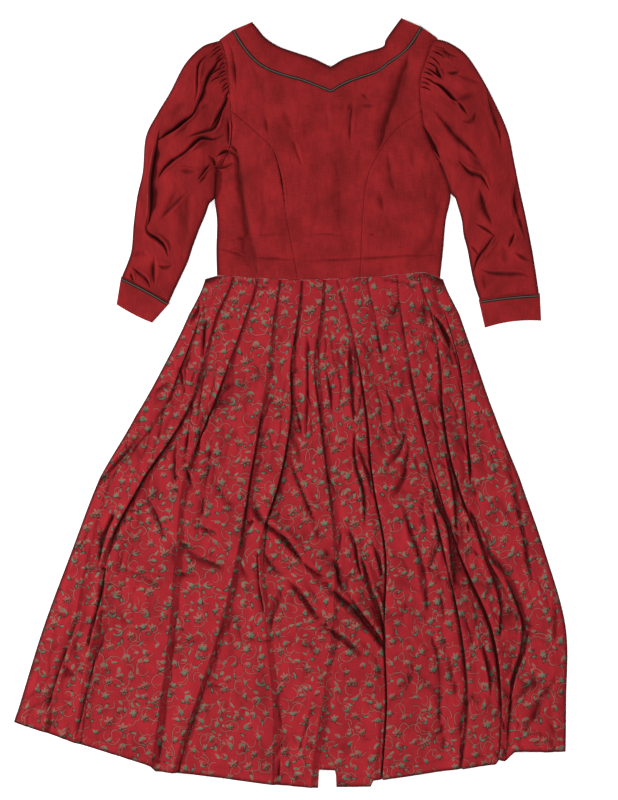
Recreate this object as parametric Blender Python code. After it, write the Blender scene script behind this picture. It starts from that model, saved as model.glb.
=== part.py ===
"""A dirndl dress laid flat on its back: bodice, puffed three-quarter sleeves, pleated skirt.

The dress lies on z = 0 with its neck towards +Y. Every size is a real one, in millimetres,
and the meshes are made in metres. "left" and "right" are as seen by whoever looks down on
the front. Seen from above, each piece of cloth is a grid of points; its wall is that grid
moved out by half the cloth's thickness to each side and closed round its rim.
"""
from collections import namedtuple
from math import exp, hypot, sqrt

import bmesh
import bpy
from mathutils import Vector
from mathutils.geometry import delaunay_2d_cdt, intersect_line_line_2d

MM = 0.001

# Cloth and seams
CLOTH = 1.2
BACK_CLOTH = 1.5
SEAM_GAP = 0.3
LIFT = BACK_CLOTH + SEAM_GAP + CLOTH / 2

# Waist and hem of the skirt, as points (x, y) from left to right
WAIST = ((-136, 198), (-118, 203), (-81, 201), (-33, 198), (15, 196), (79, 198),
         (143, 202), (191, 207), (215, 208), (244, 197))
HEM = ((-442, -511), (-396, -525), (-351, -541), (-286, -561), (-225, -579), (-216, -589),
       (-171, -592), (-106, -600), (-28, -610), (44, -615), (73, -614), (128, -613),
       (130, -604), (244, -588), (328, -578), (333, -571), (342, -573), (358, -558),
       (440, -558))
NOTCH = ((45, -586), (72, -587))

# The skirt's sides and its knife pleats: where each runs (x) at these heights (y)
LEVELS = (200, 140, 60, -20, -120, -240, -360, -480, -600)
LEFT_SIDE = (-137, -164, -203, -248, -306, -352, -396, -433, -468)
RIGHT_SIDE = (244, 271, 299, 327, 366, 407, 440, 441, 440)

# hidden: cloth folded under at the waist; opens: drop below which the pleat has opened;
# lee: width of its steep side; crest, hem: its height half way down and at the hem
Pleat = namedtuple("Pleat", "x hidden opens lee crest hem")
LEFT_PLEATS = (
    Pleat((-127, -146, -175, -213, -288, -325, -349, -387, -400), 0, 1, 9, 5, 6),
    Pleat((-94, -119, -143, -172, -237, -298, -315, -338, -352), 12, 170, 14, 9, 7),
    Pleat((-55, -72, -101, -133, -172, -185, -195, -210, -225), 12, 190, 14, 11, 10),
    Pleat((-19, -27, -37, -50, -67, -87, -115, -154, -191), 12, 150, 14, 10, 11),
    Pleat((16, 11, -1, -2, -19, -53, -42, -30, -30), 12, 170, 14, 9, 9),
    Pleat((52, 47, 37, 44, 56, 68, 65, 49, 32), 10, 200, 10, 9, 9),
)
RIGHT_PLEATS = (
    Pleat((238, 250, 271, 281, 294, 328, 376, 399, 408), 0, 1, 8, 6, 7),
    Pleat((208, 226, 241, 246, 266, 304, 349, 369, 372), 11, 140, 14, 9, 8),
    Pleat((172, 178, 192, 209, 233, 271, 314, 337, 336), 12, 170, 14, 11, 10),
    Pleat((124, 136, 152, 175, 217, 247, 273, 286, 275), 14, 180, 14, 9, 9),
    Pleat((76, 93, 111, 124, 133, 154, 152, 156, 149), 10, 160, 13, 12, 10),
)
LAYER = 1.6
LOOSER = 1.0
OPEN_CREST = 7
LAST_HIDDEN = 2.2
FOLD_ROUND = 1.0
FLAT_CREST = 0.8
MID_DROP = 400
HEM_DROP = 780
SIDE_TUCK = 8.0
TUCK_POINTS = 4
CENTRE_HEM_SHARES = (.035, .15, .30, .325, .62, .93, .96)
SKIRT_ROWS = (0, .035, .075, .11, .145, .18, .22, .29, .38, .47, .56, .65, .75, .85, .94, 1)

# Broad creases of the open skirt: ends (x, y), sideways bow of the middle, width, height
Crease = namedtuple("Crease", "x0 y0 x1 y1 bow width height")
SKIRT_CREASES = (
    Crease(-230, -125, -336, -506, -14, 15, 5),
    Crease(-30, -190, 130, -395, 6, 20, 7),
    Crease(3, -292, 118, -410, 0, 15, 4),
    Crease(48, -440, 14, -570, 0, 13, 4),
    Crease(238, -250, 262, -590, 10, 14, 4),
    Crease(303, -378, 318, -480, 0, 14, 4),
    Crease(432, -410, 362, -525, 10, 18, 6),
    Crease(340, -55, 378, -268, 6, 16, 5),
    Crease(-130, -75, -158, -235, -6, 15, 4),
    Crease(-270, -268, -195, -300, 0, 13, 3),
    Crease(-200, -408, -120, -450, 0, 13, 3),
    Crease(25, 125, 22, -66, -4, 12, 3),
)

# Outlines of the bodice, each from the top down
NECK_EDGE = ((-61, 608), (-52, 597), (-40, 583), (-18, 569), (13, 558), (37, 550), (64, 537),
             (86, 550), (117, 560), (147, 569), (153, 582), (176, 614))
NECK_SEAM = ((-92, 595), (-80, 575), (-66, 556), (-50, 541), (-30, 530), (-6, 522),
             (19, 515), (42, 506), (64, 497), (86, 510), (112, 520), (138, 529), (157, 543),
             (176, 556), (193, 574), (209, 600))
ARM_UPPER_LEFT = ((-114, 580), (-108, 567), (-102, 540), (-98, 506), (-96, 467))
ARM_LOWER_LEFT = ((-96, 467), (-95, 443), (-96, 420), (-100, 402), (-108, 386), (-120, 374))
ARM_UPPER_RIGHT = ((235, 582), (224, 570), (216, 549), (209, 524), (207, 497), (208, 466))
ARM_LOWER_RIGHT = ((208, 466), (213, 440), (221, 420), (230, 400), (240, 385))
SIDE_LEFT = ((-120, 374), (-122, 328), (-118, 291), (-119, 244), (-118, 203))
SIDE_RIGHT = ((240, 385), (256, 337), (248, 290), (244, 244), (239, 201))
PRINCESS_LEFT = ((-96, 467), (-55, 432), (-27, 402), (-15, 359), (-9, 310), (0, 260), (12, 196))
PRINCESS_RIGHT = ((208, 466), (168, 436), (141, 399), (124, 362), (117, 322), (114, 276),
                  (111, 200))
UPPER_STEPS = 13
LOWER_STEPS = 6
BODICE_GRID = 30
BAND_CLOTH = 1.5
NECK_DROP = 2.5

# How far the bodice's front stands off its back: x, y, radius, height
BODICE_SWELL = ((60, 430, 120, 3.0), (-15, 400, 55, 3.0), (135, 400, 55, 3.0), (60, 300, 110, 1.5))
WAIST_RISE = 1.6
WAIST_FADE = 45

# The sleeves from armhole to cuff: outer and inner edge (x, y), height over the floor,
# bow: how much of the armhole's curve is left, gather: height of the gathers
Section = namedtuple("Section", "outer_x outer_y inner_x inner_y height bow gather")
LEFT_SLEEVE = (
    Section(-114, 580, -120, 374, 7, 1, 2.4),
    Section(-142, 570, -126, 368, 12, .75, 2.6),
    Section(-170, 541, -130, 352, 18, .35, 1.8),
    Section(-193, 497, -127, 331, 19, .12, .9),
    Section(-214, 462, -135, 302, 17, 0, .4),
    Section(-232, 425, -145, 278, 15, 0, 0),
    Section(-237, 370, -155, 251, 13, 0, 0),
    Section(-246, 330, -164, 224, 12, 0, 0),
    Section(-252, 283, -176, 198, 11, 0, 0),
    Section(-256, 241, -185, 179, 9, 0, 0),
    Section(-271, 201, -194, 159, 6, 0, 0),
)
RIGHT_SLEEVE = (
    Section(235, 582, 240, 385, 7, 1, 2.4),
    Section(254, 576, 247, 374, 13, .75, 2.6),
    Section(280, 558, 253, 356, 18, .35, 1.8),
    Section(304, 523, 260, 336, 19, .12, .9),
    Section(328, 478, 266, 316, 17, 0, .4),
    Section(348, 432, 273, 291, 15, 0, 0),
    Section(358, 385, 276, 267, 13, 0, 0),
    Section(367, 340, 282, 244, 12, 0, 0),
    Section(378, 291, 287, 216, 11, 0, 0),
    Section(389, 233, 293, 188, 9, 0, 0),
    Section(398, 174, 301, 164, 6, 0, 0),
)
GATHERED = 12
SLEEVE_EDGE = 2.0
EDGE_INSET = 1.0

# Cuffs: the two ends of the lower edge, outer then inner, and how far it bows
Cuff = namedtuple("Cuff", "outer_x outer_y inner_x inner_y bow")
LEFT_CUFF = Cuff(-278, 157, -222, 128, -2)
RIGHT_CUFF = Cuff(400, 131, 311, 120, -2)
CUFF_CLOTH = 1.5
CUFF_EDGE = 2.0
CUFF_SWELL = 1.9
CUFF_ROWS = (0, .5, 1)
CUFF_COLUMNS = 10

# Piping: a corded edge, half round, lying on its seam
PIPING_WIDTH = 3.6
PIPING_HEIGHT = 1.9
PIPING_STEPS = 44
CUFF_PIPING_INSET = 4.0
CUFF_PIPING_ENDS = (.02, .98)
CUFF_PIPING_STEPS = 18

RED_CLOTH = (0.30, 0.014, 0.019, 1)
RED_PRINT = (0.46, 0.020, 0.028, 1)
PIPING_GREEN = (0.035, 0.045, 0.038, 1)


def lerp(a, b, t):
    return a + (b - a) * t


def smoothstep(a, b, x):
    t = min(1, max(0, (x - a) / (b - a)))
    return t * t * (3 - 2 * t)


def between(xs, ys, x):
    """Value at x of the straight-line run through the points (xs, ys), xs rising."""
    if x <= xs[0]:
        return ys[0]
    for a, b, ya, yb in zip(xs, xs[1:], ys, ys[1:]):
        if x <= b:
            return lerp(ya, yb, (x - a) / (b - a))
    return ys[-1]


def at_level(values, y):
    """x at height y on a smooth curve through the values given at LEVELS."""
    levels = LEVELS
    i = 0
    while i < len(levels) - 2 and y < levels[i + 1]:
        i += 1
    a, b = levels[i], levels[i + 1]
    t = min(1, max(0, (y - a) / (b - a)))
    before = values[max(i - 1, 0)]
    after = values[min(i + 2, len(values) - 1)]
    start = (values[i + 1] - before) / 2
    end = (after - values[i]) / 2
    h = t * t * (3 - 2 * t)
    return lerp(values[i], values[i + 1], h) + t * (1 - t) * ((1 - t) * start - t * end)


def waist_y(x):
    xs, ys = zip(*WAIST)
    return between(xs, ys, x)


def line_between(line, start, end):
    """The part of a line of points (x, y), x rising, from x = start to x = end."""
    xs, ys = zip(*line)
    ends = ((start, between(xs, ys, start)), (end, between(xs, ys, end)))
    return [ends[0]] + [p for p in line if start + .5 < p[0] < end - .5] + [ends[1]]


def hem_y(x):
    xs, ys = zip(*HEM)
    return between(xs, ys, x)


def notched_hem():
    """The hem line with the stretch that lies further back."""
    return sorted(HEM + NOTCH)


def lengths(points):
    total = [0]
    for (ax, ay), (bx, by) in zip(points, points[1:]):
        total.append(total[-1] + hypot(bx - ax, by - ay))
    return total


def resample(points, steps):
    """steps + 1 points at even distances along a run of straight lines."""
    total = lengths(points)
    xs, ys = zip(*points)
    spots = [total[-1] * k / steps for k in range(steps + 1)]
    return [(between(total, xs, s), between(total, ys, s)) for s in spots]


def shifted(points, distance):
    """The line through the points, moved to its left by distance."""
    moved = []
    for k, (x, y) in enumerate(points):
        ax, ay = points[max(k - 1, 0)]
        bx, by = points[min(k + 1, len(points) - 1)]
        length = hypot(bx - ax, by - ay)
        moved.append((x - (by - ay) / length * distance, y + (bx - ax) / length * distance))
    return moved


def thickened(path, half, closed=False):
    """A section (across, up) moved out to each side by half; mitred at its corners."""
    count = len(path)
    above, below = [], []
    for k in range(count):
        before = path[k - 1] if closed or k else None
        after = path[(k + 1) % count] if closed or k < count - 1 else None
        here = path[k]
        sides = []
        for start, end in ((before, here), (here, after)):
            if start and end:
                length = hypot(end[0] - start[0], end[1] - start[1])
                sides.append(((start[1] - end[1]) / length, (end[0] - start[0]) / length))
        nx = sum(s[0] for s in sides)
        nz = sum(s[1] for s in sides)
        size = hypot(nx, nz)
        nx, nz = nx / size, nz / size
        reach = half / max(0.55, nx * sides[0][0] + nz * sides[0][1])
        above.append((here[0] + nx * reach, here[1] + nz * reach))
        below.append((here[0] - nx * reach, here[1] - nz * reach))
    return above, below


def material(name, colour, roughness):
    made = bpy.data.materials.new(name)
    made.use_nodes = True
    shader = made.node_tree.nodes["Principled BSDF"]
    shader.inputs["Base Color"].default_value = colour
    shader.inputs["Roughness"].default_value = roughness
    shader.inputs["Metallic"].default_value = 0
    return made


def add_object(name, mesh_maker, colour, roughness=0.85):
    bm = bmesh.new()
    mesh_maker(bm)
    bmesh.ops.triangulate(bm, faces=bm.faces)
    bmesh.ops.recalc_face_normals(bm, faces=bm.faces)
    mesh = bpy.data.meshes.new(name)
    bm.to_mesh(mesh)
    bm.free()
    mesh.shade_smooth()
    mesh.set_sharp_from_angle(angle=0.7)
    mesh.materials.append(material(name + "_cloth", colour, roughness))
    made = bpy.data.objects.new(name, mesh)
    bpy.context.scene.collection.objects.link(made)
    return made


def grid_faces(bm, grid, closed, like=None):
    """Triangles over a grid of vertices, joined round into a tube where closed.

    Each four-sided cell is cut along the shorter diagonal of the same cell of like, so that
    the two skins of a wall stay parallel.
    """
    like = like or grid
    for r in range(len(grid) - 1):
        row, below = grid[r], grid[r + 1]
        span = len(row) if closed else len(row) - 1
        for c in range(span):
            d = (c + 1) % len(row)
            falling = (like[r][c].co - like[r + 1][d].co).length
            rising = (like[r][d].co - like[r + 1][c].co).length
            if falling < rising:
                bm.faces.new((row[c], row[d], below[d]))
                bm.faces.new((row[c], below[d], below[c]))
            else:
                bm.faces.new((row[c], row[d], below[c]))
                bm.faces.new((row[d], below[d], below[c]))


def wall(name, outer, inner, colour, closed=False):
    """A closed solid between two grids of points that face each other."""
    def make(bm):
        skins = []
        for grid in (outer, inner):
            skins.append([[bm.verts.new([v * MM for v in p]) for p in row] for row in grid])
        for skin in skins:
            grid_faces(bm, skin, closed, like=skins[0])
        for end in (0, -1):
            grid_faces(bm, (skins[0][end], skins[1][end]), closed)
        if not closed:
            for side in (0, -1):
                rims = [[row[side] for row in skin] for skin in skins]
                grid_faces(bm, rims, False)
    return add_object(name, make, colour)


def bead(name, centres, colour):
    """A half-round cord along the points (x, y, z), flat side down."""
    half = PIPING_WIDTH / 2
    section = ((-half, 0), (half, 0), (.72 * half, .68 * PIPING_HEIGHT), (0, PIPING_HEIGHT),
               (-.72 * half, .68 * PIPING_HEIGHT))
    left = [shifted([c[:2] for c in centres], across) for across, _ in section]

    def make(bm):
        rings = []
        for k, (_, _, z) in enumerate(centres):
            ring = [(*left[s][k], z + up) for s, (_, up) in enumerate(section)]
            rings.append([bm.verts.new([v * MM for v in p]) for p in ring])
        grid_faces(bm, rings, True)
        bm.faces.new(rings[0])
        bm.faces.new(rings[-1])
    return add_object(name, make, colour, roughness=0.7)


def inside(outline, x, y, margin):
    """True where (x, y) lies in the outline and at least margin from its edge."""
    crossings = 0
    for (ax, ay), (bx, by) in zip(outline, outline[1:] + outline[:1]):
        run = hypot(bx - ax, by - ay)
        t = min(1, max(0, ((x - ax) * (bx - ax) + (y - ay) * (by - ay)) / run ** 2))
        if hypot(lerp(ax, bx, t) - x, lerp(ay, by, t) - y) < margin:
            return False
        if (ay > y) != (by > y) and x < lerp(ax, bx, (y - ay) / (by - ay)):
            crossings += 1
    return crossings % 2 == 1


def plate(name, outline, height, thickness, colour, spacing=None):
    """A wall inside an outline of (x, y), its middle at the height that the function gives."""
    points = list(outline)
    edges = [(k, (k + 1) % len(points)) for k in range(len(points))]
    if spacing:
        xs, ys = zip(*outline)
        for row in range(int((max(ys) - min(ys)) / spacing) + 1):
            for column in range(int((max(xs) - min(xs)) / spacing) + 1):
                x = min(xs) + (column + .5 * (row % 2)) * spacing
                y = min(ys) + (row + .5) * spacing
                if inside(outline, x, y, .45 * spacing):
                    points.append((x, y))
    found = delaunay_2d_cdt([Vector(p) for p in points], edges, [], 1, 1e-4)
    plan, faces = found[0], found[2]

    def make(bm):
        skins = []
        for side in (.5, -.5):
            skins.append([bm.verts.new((v.x * MM, v.y * MM,
                                        (height(v.x, v.y) + side * thickness) * MM))
                          for v in plan])
        used = {}
        for face in faces:
            for skin in skins:
                bm.faces.new([skin[k] for k in face])
            for a, b in zip(face, face[1:] + face[:1]):
                used[frozenset((a, b))] = used.get(frozenset((a, b)), 0) + 1
        for edge, count in used.items():
            if count == 1:
                a, b = edge
                grid_faces(bm, [(skins[0][a], skins[0][b]), (skins[1][a], skins[1][b])], False)
    return add_object(name, make, colour)


def crease_height(x, y):
    """Height that the broad creases add to the skirt at a point of its plan."""
    total = 0
    for crease in SKIRT_CREASES:
        dx, dy = crease.x1 - crease.x0, crease.y1 - crease.y0
        length = hypot(dx, dy)
        along = ((x - crease.x0) * dx + (y - crease.y0) * dy) / length ** 2
        if not -0.3 < along < 1.3:
            continue
        across = ((y - crease.y0) * dx - (x - crease.x0) * dy) / length
        across -= crease.bow * 4 * along * (1 - along)
        fade = smoothstep(-0.15, 0.2, along) * smoothstep(1.15, 0.8, along)
        total += crease.height * fade * exp(-(across / crease.width) ** 2)
    return total


def lee_points(x, hidden, shut, layer, lee, height):
    """Six points down a pleat's steep side: folded under itself, or open as a wave."""
    folded = ((-FOLD_ROUND, 2 * layer), (0, 1.5 * layer), (-FOLD_ROUND, layer),
              (FOLD_ROUND - hidden, layer), (-hidden, layer / 2), (FOLD_ROUND - hidden, 0))
    opened = ((0, height), (.18 * lee, .88 * height), (.38 * lee, .62 * height),
              (.62 * lee, .32 * height), (.82 * lee, .1 * height), (lee, 0))
    return [(x + lerp(o[0], f[0], shut), lerp(o[1], f[1], shut)) for f, o in zip(folded, opened)]


def skirt_half(side, pleats, sign, row, plan_y):
    """Half of one section of the skirt's front, from its side edge towards the middle.

    sign is 1 on the left and -1 on the right, where the section is worked out mirrored.
    """
    edge = sign * at_level(side, plan_y(row, side))
    path = [(edge + SIDE_TUCK, CLOTH / 2 - LIFT), (edge + 1.7, CLOTH / 2 - LIFT),
            (edge + .7, (CLOTH / 2 - LIFT) / 2), (edge + 1.7, 0)]
    places = [sign * at_level(p.x, plan_y(row, p.x)) for p in pleats]
    foot = path[-1][0]
    shut_before = 0
    last_x = edge
    for k, pleat in enumerate(pleats):
        x = places[k]
        room = places[k + 1] - x if k + 1 < len(places) else 3 * pleat.lee
        drop = LEVELS[0] - plan_y(row, pleat.x)
        shut = smoothstep(pleat.opens, pleat.opens / 2, drop) if pleat.hidden else 0
        opened = min(1, drop / pleat.opens)
        hidden = lerp(pleat.hidden, LAST_HIDDEN, smoothstep(0, .55, opened))
        layer = LAYER * (1 + LOOSER * opened)
        crest = between((0, max(pleat.opens, 60), MID_DROP, HEM_DROP),
                        (2 * LAYER, OPEN_CREST, pleat.crest, pleat.hem), drop)
        if not pleat.hidden:
            crest = min(crest, FLAT_CREST + drop / 20)
        crest *= min(1, max(.35, min(room, x - last_x) / 30))
        steep = lee_points(x, hidden, shut, layer, min(pleat.lee, .42 * room), crest)
        top_x, top_z = steep[0]
        start = lerp(lerp(foot, top_x, .28), last_x + 2.5, shut_before)
        end = lerp(lerp(foot, top_x, .76), x - hidden - 3, shut)
        open_z = ((1 - shut) * .12, (1 - shut) * .42, lerp(.74, 1, shut))
        path.append((start, open_z[0] * top_z * (1 - shut_before)))
        path.append(((start + end) / 2, lerp(open_z[1], .45, shut) * top_z))
        path.append((end, open_z[2] * top_z))
        path.extend(steep)
        foot, shut_before, last_x = steep[-1][0], shut, x
    return path


def skirt_rows():
    """Plan and height of the skirt's front: for each row, its two wall faces."""
    def plan_y(row, values):
        return lerp(waist_y(values[0]), hem_y(values[-1]), row)

    def section(row):
        left = skirt_half(LEFT_SIDE, LEFT_PLEATS, 1, row, plan_y)
        right = skirt_half(RIGHT_SIDE, RIGHT_PLEATS, -1, row, plan_y)
        right = [(-x, z) for x, z in reversed(right)]
        first, last = left[-1][0], right[0][0]
        middle = []
        for k, hem_share in enumerate(CENTRE_HEM_SHARES):
            even = (k + 1) / (len(CENTRE_HEM_SHARES) + 1)
            x = lerp(first, last, lerp(even, hem_share, smoothstep(.3, 1, row)))
            middle.append((x, 1.2 * sqrt(row) * (1 - abs(2 * even - 1))))
        return left + middle + right

    top, bottom = section(0), section(1)
    outer, inner = [], []
    for row in SKIRT_ROWS:
        path = section(row)
        plan = [lerp(waist_y(t[0]), hem_y(b[0]), row) for t, b in zip(top, bottom)]
        if row == 1:
            xs, ys = zip(*notched_hem())
            plan = [between(xs, ys, x) for x, _ in bottom]
        raised = []
        for k, (x, z) in enumerate(path):
            if TUCK_POINTS <= k < len(path) - TUCK_POINTS:
                z = z + crease_height(x, plan[k])
            raised.append((x, z + LIFT))
        for skin, grid in zip(thickened(raised, CLOTH / 2), (outer, inner)):
            points = []
            for (x, z), (middle_x, _), y in zip(skin, raised, plan):
                along_waist = waist_y(x) - waist_y(middle_x)
                points.append((x, y + (1 - row) * along_waist, z))
            grid.append(points)
    return outer, inner


def make_skirt():
    outer, inner = skirt_rows()
    wall("skirt_front", outer, inner, RED_PRINT)
    # The back lies flat between the front's two side tucks
    left = [(max(o[0][0], i[0][0]) + SEAM_GAP, o[0][1]) for o, i in zip(outer, inner)]
    right = [(min(o[-1][0], i[-1][0]) - SEAM_GAP, o[-1][1]) for o, i in zip(outer, inner)]
    top = line_between(WAIST, left[0][0], right[0][0])
    hem = line_between(notched_hem(), left[-1][0], right[-1][0])
    outline = top[::-1] + left[1:-1] + hem + right[1:-1][::-1]
    plate("skirt_back", outline, lambda x, y: BACK_CLOTH / 2, BACK_CLOTH, RED_PRINT)


def bodice_height(x, y):
    """Middle of the front's cloth: a low swell over the bust, lifted at the waist seam."""
    total = LIFT
    for cx, cy, radius, height in BODICE_SWELL:
        away = hypot(x - cx, y - cy) / radius
        total += height * exp(-away ** 2)
    edge = min(smoothstep(-122, -85, x), smoothstep(248, 212, x))
    above_waist = y - waist_y(x)
    rise = WAIST_RISE * smoothstep(WAIST_FADE, 0, above_waist)
    return LIFT + (total - LIFT) * edge * smoothstep(0, 60, above_waist) + rise


def make_bodice():
    half_gap = SEAM_GAP / 2
    arm_left = resample(ARM_UPPER_LEFT, UPPER_STEPS)
    arm_right = resample(ARM_UPPER_RIGHT, UPPER_STEPS)
    low_left = resample(ARM_LOWER_LEFT, LOWER_STEPS)
    low_right = resample(ARM_LOWER_RIGHT, LOWER_STEPS)

    def waist_run(start, end):
        """Points just above the waist seam, from x = start to x = end."""
        return [(x, y + SEAM_GAP) for x, y in line_between(WAIST, start, end)]

    def piece(name, left, top, right, height, thickness, spacing):
        """A piece bounded by a left and a right line, both run down, and a top line.

        Without a top line it starts in a point, where its two sides cross.
        """
        left = shifted(left, half_gap)
        right = shifted(right, -half_gap)
        if not top:
            tip = intersect_line_line_2d(*left[:2], *right[:2])
            left[0] = tuple(tip)
            right = right[1:]
        low = waist_run(left[-1][0], right[-1][0])
        outline = left[:-1] + low + right[:-1][::-1] + top[::-1]
        plate(name, outline, height, thickness, RED_CLOTH, spacing)

    # Centre front, side fronts, and a back in one flat piece
    front_top = shifted(NECK_SEAM, -half_gap)
    piece("bodice_front", arm_left + list(PRINCESS_LEFT[1:]), front_top,
          arm_right + list(PRINCESS_RIGHT[1:]), bodice_height, CLOTH, BODICE_GRID)
    piece("bodice_side_left", low_left + list(SIDE_LEFT[1:]), [], list(PRINCESS_LEFT),
          bodice_height, CLOTH, BODICE_GRID)
    piece("bodice_side_right", list(PRINCESS_RIGHT), [], low_right + list(SIDE_RIGHT[1:]),
          bodice_height, CLOTH, BODICE_GRID)
    back_top = [(x, y - NECK_DROP) for x, y in NECK_EDGE]
    piece("bodice_back", arm_left + low_left[1:] + list(SIDE_LEFT[1:]), back_top,
          arm_right + low_right[1:] + list(SIDE_RIGHT[1:]), lambda x, y: BACK_CLOTH / 2,
          BACK_CLOTH, None)

    # Neck band between the neck's edge and its seam, and the piping on that seam
    band = list(NECK_EDGE) + shifted(NECK_SEAM, half_gap)[::-1]
    plate("neck_band", band, bodice_height, BAND_CLOTH, RED_CLOTH)
    seam = resample(NECK_SEAM, PIPING_STEPS)
    over = BAND_CLOTH / 2 + SEAM_GAP
    bead("neck_piping", [(x, y, bodice_height(x, y) + over) for x, y in seam], PIPING_GREEN)


def sleeve_section(section, armhole, shares):
    """Plan points of one ring of a sleeve, from its outer to its inner edge."""
    first, last = armhole[0], armhole[-1]
    points = []
    for share, (ax, ay) in zip(shares, armhole):
        x = lerp(section.outer_x, section.inner_x, share)
        y = lerp(section.outer_y, section.inner_y, share)
        bow = section.bow ** (1 + 3 * share)
        x += bow * (ax - lerp(first[0], last[0], share))
        y += bow * (ay - lerp(first[1], last[1], share))
        points.append((x, y))
    return points


def make_sleeve(name, sections, armhole):
    """A flattened tube: flat on the floor below, rounded and gathered above."""
    total = lengths(armhole)
    shares = [t / total[-1] for t in total]
    outer, inner = [], []
    for section in sections:
        plan = sleeve_section(section, armhole, shares)
        widths = lengths(plan)
        across = widths[-1]
        run = (plan[-1][0] - plan[0][0], plan[-1][1] - plan[0][1])
        size = hypot(*run)
        ring = []
        for k, share in enumerate(shares):
            round_off = sqrt(max(0, 1 - abs(2 * share - 1) ** 2.6))
            z = CLOTH / 2 + SLEEVE_EDGE + (section.height - CLOTH - SLEEVE_EDGE) * round_off
            if 0 < k <= GATHERED:
                z += section.gather * (.5 if k % 2 else -.5)
            ring.append((min(across - EDGE_INSET, max(EDGE_INSET, widths[k])), z))
        low = [(w, CLOTH / 2) for w, _ in reversed(ring)]
        for skin, grid in zip(thickened(ring + low, CLOTH / 2, closed=True), (outer, inner)):
            row = []
            for w, z in skin:
                spare = min(0, w) + max(0, w - across)
                x = between(widths, [p[0] for p in plan], w) + run[0] / size * spare
                y = between(widths, [p[1] for p in plan], w) + run[1] / size * spare
                row.append((x, y, z))
            grid.append(row)
    wall(name, outer, inner, RED_CLOTH, closed=True)


def cuff_top(sleeve_end):
    """The cuff's upper edge, one seam gap past the end of its sleeve: (x, y) twice."""
    outer = (sleeve_end.outer_x, sleeve_end.outer_y)
    inner = (sleeve_end.inner_x, sleeve_end.inner_y)
    if outer[0] < inner[0]:
        return shifted((outer, inner), -SEAM_GAP)
    return shifted((outer, inner), SEAM_GAP)


def cuff_lift(share):
    """How far the cuff's upper layer swells, from edge (share 0) to edge (share 1)."""
    return CUFF_SWELL * sqrt(max(0, 1 - abs(2 * share - 1) ** 4))


def make_cuff(side, sleeve_end, cuff):
    """A flat band round the end of the sleeve, and the piping round its upper edge."""
    top = cuff_top(sleeve_end)
    bottom = ((cuff.outer_x, cuff.outer_y), (cuff.inner_x, cuff.inner_y))
    shares = [c / CUFF_COLUMNS for c in range(CUFF_COLUMNS + 1)]

    def edge_at(down):
        """Both ends (x, y) of the line across the cuff at this share of its depth."""
        return [[lerp(a, b, down) for a, b in zip(t, low)] for t, low in zip(top, bottom)]

    outer, inner = [], []
    for down in CUFF_ROWS:
        start, end = edge_at(down)
        across = hypot(end[0] - start[0], end[1] - start[1])
        ring = [(share * across, CUFF_CLOTH / 2 + CUFF_EDGE + cuff_lift(share))
                for share in shares]
        low = [(share * across, CUFF_CLOTH / 2) for share in reversed(shares)]
        for skin, grid in zip(thickened(ring + low, CUFF_CLOTH / 2, closed=True),
                              (outer, inner)):
            row = []
            for w, z in skin:
                share = w / across
                bow = 4 * share * (1 - share) * cuff.bow * down
                row.append((lerp(start[0], end[0], share), lerp(start[1], end[1], share) + bow, z))
            grid.append(row)
    wall("cuff_" + side, outer, inner, RED_CLOTH, closed=True)

    depth = hypot(bottom[0][0] - top[0][0], bottom[0][1] - top[0][1])
    start, end = edge_at(CUFF_PIPING_INSET / depth)
    centres = []
    for k in range(CUFF_PIPING_STEPS + 1):
        share = lerp(*CUFF_PIPING_ENDS, k / CUFF_PIPING_STEPS)
        z = CUFF_CLOTH + CUFF_EDGE + cuff_lift(share) + SEAM_GAP
        centres.append((lerp(start[0], end[0], share), lerp(start[1], end[1], share), z))
    bead("cuff_piping_" + side, centres, PIPING_GREEN)


def make_sleeves():
    for side, sections, upper, lower, cuff, outward in (
            ("left", LEFT_SLEEVE, ARM_UPPER_LEFT, ARM_LOWER_LEFT, LEFT_CUFF, -1),
            ("right", RIGHT_SLEEVE, ARM_UPPER_RIGHT, ARM_LOWER_RIGHT, RIGHT_CUFF, 1)):
        armhole = resample(upper, UPPER_STEPS) + resample(lower, LOWER_STEPS)[1:]
        make_sleeve("sleeve_" + side, sections, shifted(armhole, outward * SEAM_GAP / 2))
        make_cuff(side, sections[-1], cuff)


def main():
    for old in list(bpy.data.objects):
        bpy.data.objects.remove(old, do_unlink=True)
    make_skirt()
    make_bodice()
    make_sleeves()


main()
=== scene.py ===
"""Looks of a dirndl dress laid flat on its back: plain red and printed red cotton.

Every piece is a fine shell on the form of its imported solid, with the creases and folds of the
cloth laid over it. Sizes are in millimetres until a mesh is made. "left" and "right" are as
seen by whoever looks down on the front.
"""

from collections import namedtuple
from math import hypot, pi, sqrt

import bpy
import numpy as np
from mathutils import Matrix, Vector, noise
from mathutils.geometry import delaunay_2d_cdt, intersect_line_line_2d


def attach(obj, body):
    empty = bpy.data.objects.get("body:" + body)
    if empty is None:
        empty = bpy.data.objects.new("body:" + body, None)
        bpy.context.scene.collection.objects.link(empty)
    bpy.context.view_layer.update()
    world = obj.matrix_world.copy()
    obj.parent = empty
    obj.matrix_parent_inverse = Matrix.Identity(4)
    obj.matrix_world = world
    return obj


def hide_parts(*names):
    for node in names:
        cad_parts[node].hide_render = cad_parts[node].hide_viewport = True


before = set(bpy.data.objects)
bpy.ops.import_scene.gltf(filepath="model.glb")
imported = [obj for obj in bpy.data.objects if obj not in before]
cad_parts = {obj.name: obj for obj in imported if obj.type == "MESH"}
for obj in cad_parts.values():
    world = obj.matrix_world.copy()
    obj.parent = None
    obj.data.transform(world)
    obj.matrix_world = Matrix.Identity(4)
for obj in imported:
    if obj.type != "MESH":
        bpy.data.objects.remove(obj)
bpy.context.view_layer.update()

MM = 0.001

# Cloth and seams
CLOTH = 1.2
BACK_CLOTH = 1.5
SEAM_GAP = 0.3
LIFT = BACK_CLOTH + SEAM_GAP + CLOTH / 2

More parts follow.
